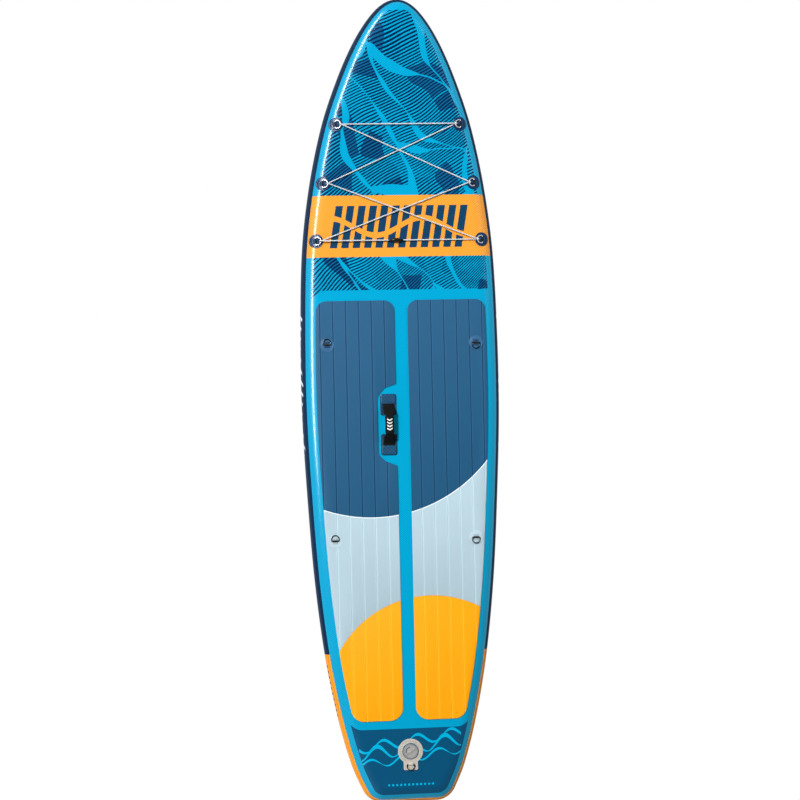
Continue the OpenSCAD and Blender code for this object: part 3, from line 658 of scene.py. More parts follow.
PAD_GAP = 52
PAD_MARGIN = 56
PAD_FRONT_Y, PAD_REAR_Y = 414, -1263
PAD_FRONT_R, PAD_REAR_R = 42, 52
PAD_PARTS = ("front", "middle", "rear")
BAY = ((-26, -246, 8), (-72, -228, 20), (-102, -200, 25), (-102, 30, 25), (-72, 64, 20), (-26, 80, 8))
FRONT_CIRCLE, REAR_CIRCLE = (-124, 140, 590), (92, -1192, 424)
GROOVE_FIRST, GROOVE_PITCH = 68, 51.5
GROOVES = [side * (GROOVE_FIRST + GROOVE_PITCH * k) for side in (-1, 1) for k in range(6)]
GROOVE_FLOOR, GROOVE_TOP, GROOVE_DEPTH = 0.8, 2.4, 1.9
EDGE_ROUND = 1.3
CUT_HALF = 0.05


def rounded(points, steps=14):
    """The closed outline through (x, y, radius) corners with each corner turned into an arc."""
    result = []
    for i, (x, y, r) in enumerate(points):
        if r == 0:
            result.append((x, y))
            continue
        b = Vector((x, y))
        u = (Vector(points[i - 1][:2]) - b).normalized()
        v = (Vector(points[(i + 1) % len(points)][:2]) - b).normalized()
        half = acos(max(-1, min(1, u.dot(v)))) / 2
        centre = b + (u + v).normalized() * r / sin(half)
        start = b + u * r / tan(half) - centre
        end = b + v * r / tan(half) - centre
        turn = atan2(start.x * end.y - start.y * end.x, start.dot(end))
        first = atan2(start.y, start.x)
        angles = spread(first, first + turn, steps)
        result += [(centre.x + r * cos(a), centre.y + r * sin(a)) for a in angles]
    return result


def pad_edge_x(y):
    return half_width(LENGTH / 2 - y) - PAD_MARGIN


def pad_outline(side):
    inner = side * PAD_GAP / 2
    corners = [(inner, PAD_FRONT_Y, PAD_FRONT_R)]
    corners += BAY[::-1] if side < 0 else ()
    corners += [(inner, PAD_REAR_Y, PAD_REAR_R), (side * pad_edge_x(PAD_REAR_Y), PAD_REAR_Y, PAD_REAR_R)]
    corners += [(side * pad_edge_x(y), y, 0) for y in spread(PAD_REAR_Y + 140, PAD_FRONT_Y - 90, 48)]
    corners += [(side * pad_edge_x(PAD_FRONT_Y), PAD_FRONT_Y, PAD_FRONT_R)]
    return rounded(corners)


def shrunk(outline, by):
    """The outline moved inwards by a small distance."""
    points = np.array(outline) @ (1, 1j)
    run = np.roll(points, -1) - points
    side = 1j * np.sign(np.sum((points.conj() * run).imag))
    ways = side * run / np.maximum(np.abs(run), 1e-9)
    inwards = ways + np.roll(ways, 1)
    return [(p.real, p.imag) for p in points + inwards / np.abs(inwards) * by]


def distance_to(points, outline):
    """Distance of each point to the closed outline."""
    a = np.array(outline)
    best = np.full(len(points), 1e9)
    for start, run in zip(a, np.roll(a, -1, 0) - a):
        t = np.clip(((points - start) @ run) / max(run @ run, 1e-9), 0, 1)
        best = np.minimum(best, np.linalg.norm(points - start - t[:, None] * run, axis=1))
    return best


def inside(points, outline):
    """Which points lie in the closed outline."""
    a = np.array(outline)
    hit = np.zeros(len(points), bool)
    for (x0, y0), (x1, y1) in zip(a, np.roll(a, -1, 0)):
        crosses = (y0 > points[:, 1]) != (y1 > points[:, 1])
        if y0 != y1:
            hit ^= crosses & (points[:, 0] < x0 + (points[:, 1] - y0) * (x1 - x0) / (y1 - y0))
    return hit


def beyond(points, round_edge):
    """How far each point lies outside a circle."""
    x, y, r = round_edge
    return np.hypot(points[:, 0] - x, points[:, 1] - y) - r


def groove_depth(x):
    near = np.min(np.abs(x[:, None] - np.array(GROOVES)[None, :]), axis=1)
    return GROOVE_DEPTH * np.clip((GROOVE_TOP - near) / (GROOVE_TOP - GROOVE_FLOOR), 0, 1)


def pad_net(side, outline):
    """Flat points and triangles over one pad, with edges along its outline, grooves, joints and shoulder."""
    points, edges = [], []

    def add_line(line, closed=False):
        start, count = len(points), len(line)
        points.extend(line)
        edges.extend((start + k, start + (k + 1) % count) for k in range(count if closed else count - 1))

    for step in (0, 0.3, 0.7, EDGE_ROUND):
        add_line(shrunk(outline, step), closed=True)
    for inset in (5, 10, 15, 21):
        ys = spread(PAD_REAR_Y + 20, PAD_FRONT_Y - 20, 60)
        add_line([(side * (pad_edge_x(y) - inset), y) for y in ys])
    for x in GROOVES:
        if x * side > 0:
            for shift in (-GROOVE_TOP, -GROOVE_FLOOR, GROOVE_FLOOR, GROOVE_TOP):
                add_line([(x + shift, PAD_REAR_Y - 6), (x + shift, PAD_FRONT_Y + 6)])
    for x, y, r in (FRONT_CIRCLE, REAR_CIRCLE):
        for shift in (-EDGE_ROUND, -0.5, -CUT_HALF, CUT_HALF, 0.5, EDGE_ROUND):
            add_line([(x + (r + shift) * c, y + (r + shift) * s) for c, s in circle(240)], closed=True)
    flat, _, triangles, *_ = delaunay_2d_cdt([Vector(p) for p in points], edges, [], 0, 1e-4)
    flat, triangles = np.array([tuple(p) for p in flat]), np.array(triangles)
    return flat, triangles[inside(flat[triangles].mean(1), outline)]


def make_pad(side, word, paints):
    """One side's three pieces of foam: a net of triangles on top, the same below and a wall between them."""
    outline = pad_outline(side)
    flat, triangles = pad_net(side, outline)
    middle = flat[triangles].mean(1)
    edge = distance_to(flat, outline)
    zone = np.full(len(triangles), 1)
    cut = np.zeros(len(triangles), bool)
    for index, joint in ((0, FRONT_CIRCLE), (2, REAR_CIRCLE)):
        reach = beyond(middle, joint)
        zone[reach < 0] = index
        cut |= np.abs(reach) < CUT_HALF
        edge = np.minimum(edge, np.abs(beyond(flat, joint)) - CUT_HALF)
    t = 1 - np.clip(edge, 0, EDGE_ROUND) / EDGE_ROUND
    drop = EDGE_ROUND * (1 - np.sqrt(np.clip(1 - t * t, 0, 1))) + groove_depth(flat[:, 0])
    ground = np.array([deck_z(x, y) for x, y in flat])
    for index, part in enumerate(PAD_PARTS):
        used, local = np.unique(triangles[(zone == index) & ~cut], return_inverse=True)
        top = [tuple(t) for t in local.reshape(-1, 3).tolist()]
        count = len(used)
        directed = [(t[i], t[(i + 1) % 3]) for t in top for i in range(3)]
        known = set(directed)
        faces = top + [tuple(count + i for i in t[::-1]) for t in top]
        faces += [(b, a, count + a, count + b) for a, b in directed if (b, a) not in known]
        heights = (ground[used] + PAD_T - drop[used], ground[used] + 0.05)
        points = np.vstack([np.column_stack([flat[used], z]) for z in heights])
        foam = piece(f"foam_{word}_{part}", (points, faces), paints[index], [f"pad_{word}_{part}"], sharp=28)


def foam_paint(name, colour, groove, rim=None):
    """EVA foam: pressed diagonal ribs, fine pores and grooves, with painted light and shade on the ribs, in
    the grooves and along the grooves' shoulders.
    """
    paint = Paint(name, 0.62, 0.25)
    pitch = GROOVE_PITCH * MM
    near = (((paint.x.abs() - GROOVE_FIRST * MM) / pitch + 0.5).fract() - 0.5).abs() * pitch
    deep = 1 - near.ramp(GROOVE_FLOOR * MM, GROOVE_TOP * MM)
    # painted highlight: a thin lighter line along both shoulders of each groove
    lit = (1 - (near - 0.0036).abs().ramp(0.0004, 0.0014)) * 0.22
    ribs = emboss(paint, 0.0072, 0.85)
    # painted shade: the pressed ribs are also painted a little darker, to bring out their relief
    tone = paint.mix(ribs.ramp(0.2, 0.8) * 0.10, paint.speckle(colour, 0.05, 6.0), BLACK)
    tone = paint.mix(lit, tone, tuple(min(1.0, c * 1.6 + 0.05) for c in colour))
    # painted highlight: a light band on the grey side of the front joint's rounded edge
    if rim:
        x, y, r = (c * MM for c in FRONT_CIRCLE)
        reach = ((paint.x - x).power(2) + (paint.y - y).power(2)).power(0.5) - r
        tone = paint.mix(reach.within(-0.001, 0.0032), tone, rim)
    # painted light and shade in the grooves: their tone is darker than the foam on navy, lighter on grey and
    # yellow
    paint.colour(paint.mix(deep, tone, groove))
    paint.bump(ribs * 0.75 + paint.noise(1400, 2) * 0.25, 0.00035, 0.6)
    return paint


def make_pads():
    # the second colour of each is the grooves' painted light and shade; the grey pad's last colour is a
    # painted highlight along the front joint's edge
    paints = (
        foam_paint("eva_navy", srgb(32, 88, 126), srgb(16, 60, 98)),
        foam_paint("eva_grey", srgb(175, 199, 210), srgb(190, 212, 221), rim=srgb(240, 247, 250)),
        foam_paint("eva_yellow", srgb(255, 167, 0), srgb(255, 186, 30)),
    )
    for side, word in SIDES:
        make_pad(side, word, paints)


# ---- paints of the fittings ----

DIAMOND = 14


def webbing_paint(name, colour, sheen=0.3, thread=0.0011, bar_shadow=None, slot=None):
    """Woven band: ribs broken into a twill by the threads along it. The colour given for the hump over a
    ring's bar is a painted shadow.
    """
    paint = Paint(name, 0.72, 0.12, slot, "weave", Sheen_Weight=sheen)
    weft = paint.y.wave(thread)
    warp = (paint.x + paint.y * 0.5).wave(thread * 1.6)
    height = weft * 0.55 + warp * 0.45
    # painted shade: the weave's low threads are painted darker
    tone = paint.mix(height, darker(colour, 0.6), paint.speckle(colour, 0.08, 30.0))
    # painted shadow: the band is coloured near black over the hump where it goes round a ring's bar
    if bar_shadow:
        tone = paint.mix(paint.z.abs().within(-1, 0.0036), tone, bar_shadow)
    paint.colour(tone)
    paint.bump(height, 0.00035, 0.9)
    return paint


def pvc_paint(name, colour, roughness, grain=700, slot=None):
    """Smooth coated fabric or moulded plastic with a fine grain and slight changes of tone."""
    paint = Paint(name, roughness, 0.45, slot)
    paint.colour(paint.speckle(colour, 0.05, 40.0))
    paint.rough(paint.noise(90, 3) * 0.14 + (roughness - 0.07))
    paint.bump(paint.noise(grain, 3), 0.00012, 0.5)
    return paint


def diamond_paint(name, colour):
    """Coated fabric pressed with small diamonds, painted darker along the pressed lines as painted shade."""
    paint = Paint(name, 0.3, slot="patch_navy")
    diamonds = (paint.x + paint.y).wave(DIAMOND * MM).max((paint.x - paint.y).wave(DIAMOND * MM))
    tone = paint.speckle(colour, 0.05, 40.0)
    paint.colour(paint.mix(diamonds.ramp(0.5, 0.8) * 0.75, tone, darker(colour, 0.35)))
    paint.rough(paint.noise(90, 3) * 0.14 + 0.3)
    paint.bump(paint.noise(700, 3), 0.00012, 0.5)
    return paint


def metal_paint(name, colour, roughness, slot=None, metallic=1.0):
    """Drawn and polished wire with fine scratches."""
    paint = Paint(name, roughness, slot=slot, Metallic=metallic)
    scratch = paint.noise(700, 4, paint.join(paint.x * 0.2, paint.y, paint.z))
    paint.colour(paint.speckle(colour, 0.05, 120.0))
    paint.rough(scratch * 0.22 + (roughness - 0.08))
    paint.bump(scratch, 0.00005, 0.4)
    return paint


def dress(paint, bevel, *names):
    """Gives CAD nodes their material and, if bevel isn't 0, softens their sharp edges."""
    for name in names:
        obj = NODES[name]
        obj.data.materials.clear()
        obj.data.materials.append(paint.material)
        if bevel:
            modify(obj, "WELD", merge_threshold=1e-6)
            modify(obj, "BEVEL", width=bevel * MM, segments=2, limit_method="ANGLE", angle_limit=radians(40),
                   harden_normals=True)


# ---- patches, loops and rings ----

PATCH_R = 28
PATCH_LIFT, PATCH_T = 0.5, 1.4
WIRE_R = 2
BAR_H = WIRE_R + 0.05 + 1.4
RING_REACH = 23
RING_PITCH = radians(8)
LOOP_W, LOOP_T = 20, 1.15
STITCH_ROWS = (-10.5, -7.5, 7.5, 10.5)
STITCH_PITCH, STITCH_L, STITCH_R = 3.2, 2.1, 0.28
# half of a band's section, as shares of its half width and half thickness
BAND_HALF = ((-1, -0.7), (-1, 0.7), (-0.985, 1), (-0.5, 1), (0, 1), (0.5, 1), (0.985, 1))


def pad_z(x, y):
    return Z_PAD


def patch(name, x, y, ground, height, paint, node):
    """A round patch, soft at its edge, with a groove inside the rim. ground gives the surface below it."""
    steps = 64
    profile = (
        (PATCH_R, 0), (PATCH_R, 0.5 * height), (PATCH_R - 0.3, 0.8 * height), (PATCH_R - 1.0, height),
        (25.2, height), (24.6, height - 0.2), (24.2, height - 0.5), (23.4, height - 0.5),
        (23.0, height - 0.2), (22.4, height), (15, height), (8, height),
    )
    points = [
        (x + r * c, y + r * s, ground(x + r * c, y + r * s) + h) for r, h in profile for c, s in circle(steps)
    ]
    points.append((x, y, ground(x, y) + height))
    last = (len(profile) - 1) * steps
    faces = tube_faces(len(profile), steps)
    faces += [(last + k, last + (k + 1) % steps, len(points) - 1) for k in range(steps)]
    faces.append(tuple(range(steps))[::-1])
    piece(name, (points, faces), paint, [node], sharp=50)


def webbing(path, width, thickness):
    """A woven band along a (y, z) path, and each point's place across it, along it and on the y axis.

    width is a function of y."""
    middles = [Vector(p) for p in path]
    run, loops, weave = 0.0, [], []
    for i, middle in enumerate(middles):
        ahead = (middles[min(i + 1, len(path) - 1)] - middles[max(i - 1, 0)]).normalized()
        up = Vector((-ahead.y, ahead.x)) * (thickness / 2)
        run += (middle - middles[max(i - 1, 0)]).length
        half = width(path[i][0]) / 2
        section = BAND_HALF + tuple((-u, -v) for u, v in BAND_HALF)
        loops.append([(u * half, *(middle + up * v)) for u, v in section])
        weave += [(u * half * MM, run * MM, path[i][0] * MM) for u, _ in section]
    return loft(loops), weave


def loop_path():
    """Webbing that lies on the patch, rises over the ring's bar and lies down again."""
    reach = WIRE_R + 0.75
    over = [(-reach * cos(a), BAR_H + reach * sin(a)) for a in spread(0, pi, 12)]
    foot = [(-12, 0.62), (-9, 0.62), (-6.5, 0.64), (-4.6, 0.9), (-3.4, 1.7), (-2.9, 2.6)]
    return foot + over + [(-y, z) for y, z in reversed(foot)]


LOOP, LOOP_WEAVE = webbing(loop_path(), lambda y: LOOP_W, LOOP_T)


def stitches(rows):
    """Short rounded stitches along rows of (start, end, up)."""
    shares = ((-0.5, 0.3), (-0.38, 0.9), (0, 1.0), (0.38, 0.9), (0.5, 0.3))
    stitch = loft([
        [(r * STITCH_R * c, r * STITCH_R * s, z * STITCH_L) for c, s in circle(6)] for z, r in shares
    ])
    places = []
    for start, end, up in rows:
        run = (end - start).normalized()
        axes = Matrix((run.cross(up), up, run)).transposed().to_4x4()
        count = int((end - start).length / STITCH_PITCH)
        places += [move(start.lerp(end, (k + 0.5) / count)) @ axes for k in range(count)]
    return joined(moved(place, stitch) for place in places)


def bungee_frame(side, row):
    """A frame on a bungee ring's patch, tilted as the CAD part tilts it, with its +Y inboard."""
    x, y = side * BUNGEE_ROWS[row][0], BUNGEE_ROWS[row][1]
    tilt_x = atan(deck_z(x, y + 1) - deck_z(x, y))
    tilt_y = -atan((deck_z(x + 1, y) - deck_z(x - 1, y)) / 2)
    ground = move((x, y, deck_z(x, y))) @ turned(tilt_y, "Y") @ turned(tilt_x, "X")
    return ground @ move((0, 0, PATCH_LIFT + PATCH_T)) @ turned(side * pi / 2)


def make_rings():
    """The fixed rings' patches, webbing loops and stitches, and the rings' own looks."""
    steel = metal_paint("ring_steel", srgb(226, 228, 231), 0.34, metallic=0.5)
    dress(steel, 0, *[n for n in NODES if n.startswith("bungee_ring")])
    dark_steel = metal_paint("ring_dark", srgb(84, 88, 94), 0.2, "ring_steel")
    dress(dark_steel, 0, *[n for n in NODES if n.startswith("deck_ring")])
    patch_paints = (
        pvc_paint("patch_dark", srgb(12, 50, 88), 0.3),
        pvc_paint("patch_pad_navy", srgb(48, 98, 138), 0.42, slot="patch_navy"),
        pvc_paint("patch_pad_grey", srgb(184, 206, 216), 0.42, slot="patch_grey"),
    )
    # painted shadow, near black, for the loops' humps over the rings' bars
    bar_shadow = srgb(10, 12, 16)
    navy = webbing_paint("loop_navy", srgb(24, 66, 104), bar_shadow=bar_shadow, slot="loop_webbing")
    grey = webbing_paint("loop_grey", srgb(188, 208, 216), bar_shadow=bar_shadow, slot="loop_webbing")
    loops, rows = ([], [], []), []

    def fit(words, x, y, ground, height, group, at):
        """One ring's patch, and the loop and stitches on it, for one of the three groups of loops."""
        prefix, node_prefix, end = words
        patch(f"{prefix}_{end}", x, y, ground, height, patch_paints[group], f"{node_prefix}_{end}")
        loops[group].append(moved(at, LOOP))
        up = at.col[2].xyz
        rows.extend((at @ Vector((-8, v, 1.25)), at @ Vector((8, v, 1.25)), up) for v in STITCH_ROWS)

    for side, word in SIDES:
        for row, (x, y) in enumerate(BUNGEE_ROWS):
            words = ("patch", "bungee_patch", f"{word}_" + ("front", "mid", "rear")[row])
            fit(words, side * x, y, deck_z, PATCH_LIFT + PATCH_T, 0, bungee_frame(side, row))
    for side, word in SIDES:
        for row, (x, y) in enumerate(RING_ROWS):
            words = ("pad_patch", "ring_patch", f"{word}_" + ("front", "rear")[row])
            at = move((side * x, y, Z_PAD + PATCH_T)) @ turned(pi * (side > 0))
            fit(words, side * x, y, pad_z, PATCH_T, row + 1, at)
    names = (
        ("bungee_webbing", navy, "bungee_loops"),
        ("ring_webbing_navy", navy, "ring_loops"),
        ("ring_webbing_grey", grey, "ring_loops"),
    )
    for (name, paint, node), group in zip(names, loops):
        piece(name, joined(group), paint, [node], sharp=60, weave=LOOP_WEAVE * len(group))
    thread = pvc_paint("stitch_thread", srgb(70, 104, 140), 0.6, slot="loop_webbing")
    piece("loop_stitches", stitches(rows), thread, sharp=60)


# ---- bungee cord ----

BUNGEE_R = 2.5
TURN_R = WIRE_R + BUNGEE_R + 0.15
CORD_STEP = 1.6
BRAID_TURN = 16
BRAID_STRANDS = 5
JOINER_X = -15
# half of the joiner's outline, as (z, radius), from its end to its middle
JOINER_HALF = (
    (29.5, 3.0), (29.3, 3.6), (26, 4.0), (20, 4.8), (14, 6.3), (10, 7.7), (8, 8.3), (6.8, 8.5),
    (6.3, 7.9), (5.2, 7.9), (4.7, 8.5), (3.3, 8.5), (2.8, 7.9), (1.7, 7.9), (1.2, 8.5),
)


def turn_back(side, row, up):
    """The cord's way round a ring's bow, from below it to above it when up is 1."""
    bow = (0, RING_REACH * cos(RING_PITCH), BAR_H + RING_REACH * sin(RING_PITCH))
    middle = bungee_frame(side, row) @ Vector(bow)
    angles = [radians(a) for a in range(-90, 91, 15)]
    return [middle + TURN_R * Vector((side * cos(a), 0, up * sin(a))) for a in angles]


def cord_route():
    turns = ((-1, 2, -1), (1, 1, 1), (-1, 0, -1), (1, 0, -1), (-1, 1, 1), (1, 2, -1))
    return [point for turn in turns for point in turn_back(*turn)]


def resampled(route, step):
    """Points at even distances along a closed route, and that distance."""
    ring = route + [route[0]]
    runs = [0.0]
    for a, b in zip(ring, ring[1:]):
        runs.append(runs[-1] + (b - a).length)
    count = int(runs[-1] / step)
    result, i = [], 0
    for k in range(count):
        at = runs[-1] * k / count
        while runs[i + 1] < at:
            i += 1
        result.append(ring[i].lerp(ring[i + 1], (at - runs[i]) / (runs[i + 1] - runs[i])))
    return result, runs[-1] / count


def braided_cord(route):
    """A closed tube whose skin carries the strands of a braid, and each point's place round and along it."""
    path, step = resampled(route, CORD_STEP)
    loops, weave = [], []
    for i, p in enumerate(path):
        run = (path[(i + 1) % len(path)] - path[i - 1]).normalized()
        u = run.cross(Vector((0, 1, 0))).normalized()
        v = run.cross(u)
        turn = tau * i * step / BRAID_TURN
        loop = []
        for k, (c, s) in enumerate(circle(20)):
            a = tau * k / 20
            over = cos(BRAID_STRANDS * (a + turn)) * cos(BRAID_STRANDS * (a - turn))
            loop.append(p + (u * c + v * s) * BUNGEE_R * (0.965 + 0.05 * over))
            weave.append((a / tau, i * step * MM, 0))
        loops.append(loop)
    return loft(loops, ring=True), weave


def make_cord():
    route = cord_route()
    cord, weave = braided_cord(route)
    paint = Paint("bungee", 0.55, 0.4, coords="weave", Sheen_Weight=0.2)
    around, along = paint.x * BRAID_STRANDS, paint.y / (BRAID_TURN * MM) * BRAID_STRANDS
    left, right = (around + along).fract(), (around - along).fract()
    strand = (left - 0.5).abs().min((right - 0.5).abs()) * 2
    fleck = left.within(0.0, 0.2).min(right.within(0.4, 0.6))
    # painted shade: the braid is painted grey where its relief is low, between the strands
    colour = paint.mix(strand.ramp(0.0, 0.35), srgb(120, 126, 134), srgb(226, 229, 232))
    paint.colour(paint.mix(fleck, colour, srgb(60, 70, 84)))
    paint.bump(strand, 0.0003, 0.7)
    piece("bungee_braid", cord, paint, ["bungee_cord"], sharp=80, weave=weave)

    end, start = route[-1], route[0]
    middle = end.lerp(start, (end.x - JOINER_X) / (end.x - start.x))
    profile = [(-z, r) for z, r in JOINER_HALF] + list(reversed(JOINER_HALF))
    turned_shape = loft([[(r * c, r * s, z) for c, s in circle(48)] for z, r in profile])
    at = move(middle) @ facing(start - end)
    black = pvc_paint("joiner_black", srgb(22, 23, 26), 0.35)
    piece("cord_joiner", moved(at, turned_shape), black, ["bungee_joiner"], sharp=32)


# ---- handle ----

HANDLE_AT = (-58.5, -82)
HANDLE_PATCH_DY = 79.5
HANDLE_PATCH_T = 1.6
STRAP_T = 2
STRAP_REACH, STRAP_FOOT = 113, 80
HANDLE_H = 30
GRIP = (36, 71, 16)
STRAP_FLAT = (GRIP[1] + 1) / 2
Z_STRAP = Z_DECK + HANDLE_PATCH_T + 0.05 + STRAP_T / 2
# name, CAD node, paint, colour, distance from the middle, height,
# (width, length, corner) and the profile's steps (inset, height)
HANDLE_PLATES = (
    ("handle_base", "handle_patch", "patch_navy", (18, 66, 100), HANDLE_PATCH_DY, Z_DECK, (66, 86, 10),
     ((0, 0), (0, 1.0), (0.3, 1.4), (0.9, 1.6), (3.2, 1.6), (3.7, 1.2), (4.6, 1.2), (5.1, 1.6))),
    ("handle_flap", "handle_cover", "flap_navy", (28, 84, 122), HANDLE_PATCH_DY + 22,
     Z_DECK + HANDLE_PATCH_T, (60, 38, 8),
     ((0, 0), (0, 1.0), (0.5, 2.2), (1.6, 3.1), (3.4, 3.5), (4.4, 3.35), (5.4, 3.6), (8, 3.9))),
)


def plate(size, profile):
    """A rounded plate from (inset, height) pairs, bottom to top."""
    width, length, corner = size
    loops = []
    for inset, z in profile:
        x, y, r = width / 2 - inset, length / 2 - inset, max(0.6, corner - inset)
        shape = rounded([(-x, -y, r), (x, -y, r), (x, y, r), (-x, y, r)], 8)
        loops.append([(px, py, z) for px, py in shape])
    return loft(loops)


def quilted(mesh):
    """A plate with its flat top pressed into diamonds, in step with diamond_paint."""
    points, faces = mesh
    rim = faces[-1]
    outline = [points[i][:2] for i in rim]
    low, high = np.min(outline, 0), np.max(outline, 0)
    grid = np.stack(np.meshgrid(*(np.arange(a, b, 1.1) for a, b in zip(low, high))), -1).reshape(-1, 2)
    grid = grid[inside(grid, outline)]
    grid = grid[distance_to(grid, outline) > 0.7]
    waves = [np.abs((grid @ (1, slant)) / DIAMOND % 1 - 0.5) * 2 for slant in (1, -1)]
    fade = np.clip(distance_to(grid, outline) / 2.5, 0, 1)
    drop = 0.7 * np.clip((np.maximum(*waves) - 0.45) / 0.4, 0, 1) * fade
    count = len(rim)
    edges = [(k, (k + 1) % count) for k in range(count)]
    flat = [Vector(p) for p in outline] + [Vector(p) for p in grid]
    _, _, triangles, source, *_ = delaunay_2d_cdt(flat, edges, [], 0, 1e-5)
    number = list(rim) + [len(points) + k for k in range(len(grid))]
    top = points[rim[0]][2]
    points = points + [(x, y, top - z) for (x, y), z in zip(grid, drop)]
    return points, faces[:-1] + [tuple(number[source[k][0]] for k in t) for t in triangles]


def arch_z(s):
    t = min(1.0, max(0.0, (abs(s) - STRAP_FLAT) / (STRAP_FOOT - STRAP_FLAT)))
    return HANDLE_H * (1 + cos(pi * t)) / 2


def strap_width(s):
    return 30 + 15.6 * smoothstep((abs(s) - STRAP_FLAT) / 11)


def grip_shape():
    """The padded sleeve: a rounded tube, pinched behind each of its ends."""
    loops = []
    for s in spread(-GRIP[1] / 2, GRIP[1] / 2, 48):
        from_end = GRIP[1] / 2 - abs(s)
        grow = 0.86 + 0.14 * smoothstep(from_end / 3.5) - 0.035 * exp(-((from_end - 5.5) / 0.9) ** 2)
        belly = 1 - 0.03 * cos(pi * s / GRIP[1]) ** 2
        x, z = GRIP[0] / 2 * grow * belly, GRIP[2] / 2 * grow
        loops.append([
            (copysign(abs(c) ** 0.72, c) * x, s, copysign(abs(d) ** 0.80, d) * z) for c, d in circle(56)
        ])
    return loft(loops)


def sleeve_paint():
    """Black knit with a row of printed chevrons on its top."""
    paint = Paint("grip_black", 0.75, 0.12, coords="weave", Sheen_Weight=0.03)
    x, y = paint.x, paint.y
    chevron = ((y - x.abs() * 0.55) / 0.0125).fract().within(0.18, 0.62)
    chevron = chevron.min(x.abs().within(-1, 0.0105)).min(y.within(-0.0235, 0.0270))
    chevron = chevron.min(paint.attribute("top"))
    paint.colour(paint.mix(chevron, paint.speckle(srgb(16, 16, 18), 0.1, 60.0), srgb(232, 230, 228)))
    paint.bump(x.wave(0.0012) * 0.5 + y.wave(0.0012) * 0.5, 0.00025, 0.8)
    return paint


def make_handle():
    x, y = HANDLE_AT
    for name, node, paint_name, colour, dy, z, size, profile in HANDLE_PLATES:
        paint = diamond_paint(paint_name, srgb(*colour))
        for end, word in ENDS:
            shape = moved(move((x, y + end * dy, z)), plate(size, profile))
            piece(f"{name}_{word}", quilted(shape), paint, [f"{node}_{word}"], sharp=50)

    black = webbing_paint("webbing_black", srgb(14, 14, 16), 0.03, 0.0014)
    for end, word in ENDS:
        path = [(s, Z_STRAP + arch_z(s)) for s in spread(0, STRAP_REACH * end, 70)]
        band, weave = webbing(path, strap_width, STRAP_T)
        strap = piece(f"strap_{word}", moved(move((x, y, 0)), band), black, ["handle_strap"], None, 60,
                      weave=weave)
        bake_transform(strap)

    shape = grip_shape()
    weave = [(px * MM, s * MM, 0) for px, s, _ in shape[0]]
    place = move((x, y, Z_STRAP + HANDLE_H))
    top = [1.0 if z > 2 else 0.0 for _, _, z in shape[0]]
    grip = piece("grip_sleeve", moved(place, shape), sleeve_paint(), ["handle_grip"], "handle", 60,
                 weave=weave, top=top)


# ---- valve, cap and leash ring ----

Z_FLANGE = Z_DECK + 2
CAP_TOP = Z_FLANGE + 2.52 + 4  # the cap's foot above the flange, and its height
SPRING_TURNS, SPRING_R, SPRING_WIRE_R = 4, 5, 0.6
SPRING_LOW, SPRING_HIGH = -19.3, -6.7


def arc_bar(r, a0, a1, half, z0, z1, steps=24):
    """A raised bar along an arc about the valve's axis, angles in degrees."""
    section = (
        (-half, z0), (-half, z1 - 0.15), (-half + 0.2, z1), (half - 0.2, z1), (half, z1 - 0.15), (half, z0),
    )
    angles = spread(radians(a0), radians(a1), steps)
    return loft([[((r + dr) * cos(a), VALVE_Y + (r + dr) * sin(a), z) for dr, z in section] for a in angles])


def ring_bar(r, half, z0, z1):
    return arc_bar(r, 0, 359.99, half, z0, z1, 96)


def coil():
    """The valve's spring, between its guide and the push button."""
    loops, up = [], Vector((0, 0, 1))
    for t in spread(0, SPRING_TURNS, SPRING_TURNS * 24):
        out = Vector((cos(tau * t), sin(tau * t), 0))
        z = Z_DECK + SPRING_LOW + (SPRING_HIGH - SPRING_LOW) * t / SPRING_TURNS
        centre = out * SPRING_R + Vector((0, VALVE_Y, z))
        loops.append([centre + (out * c + up * s) * SPRING_WIRE_R for c, s in circle(10)])
    return loft(loops)


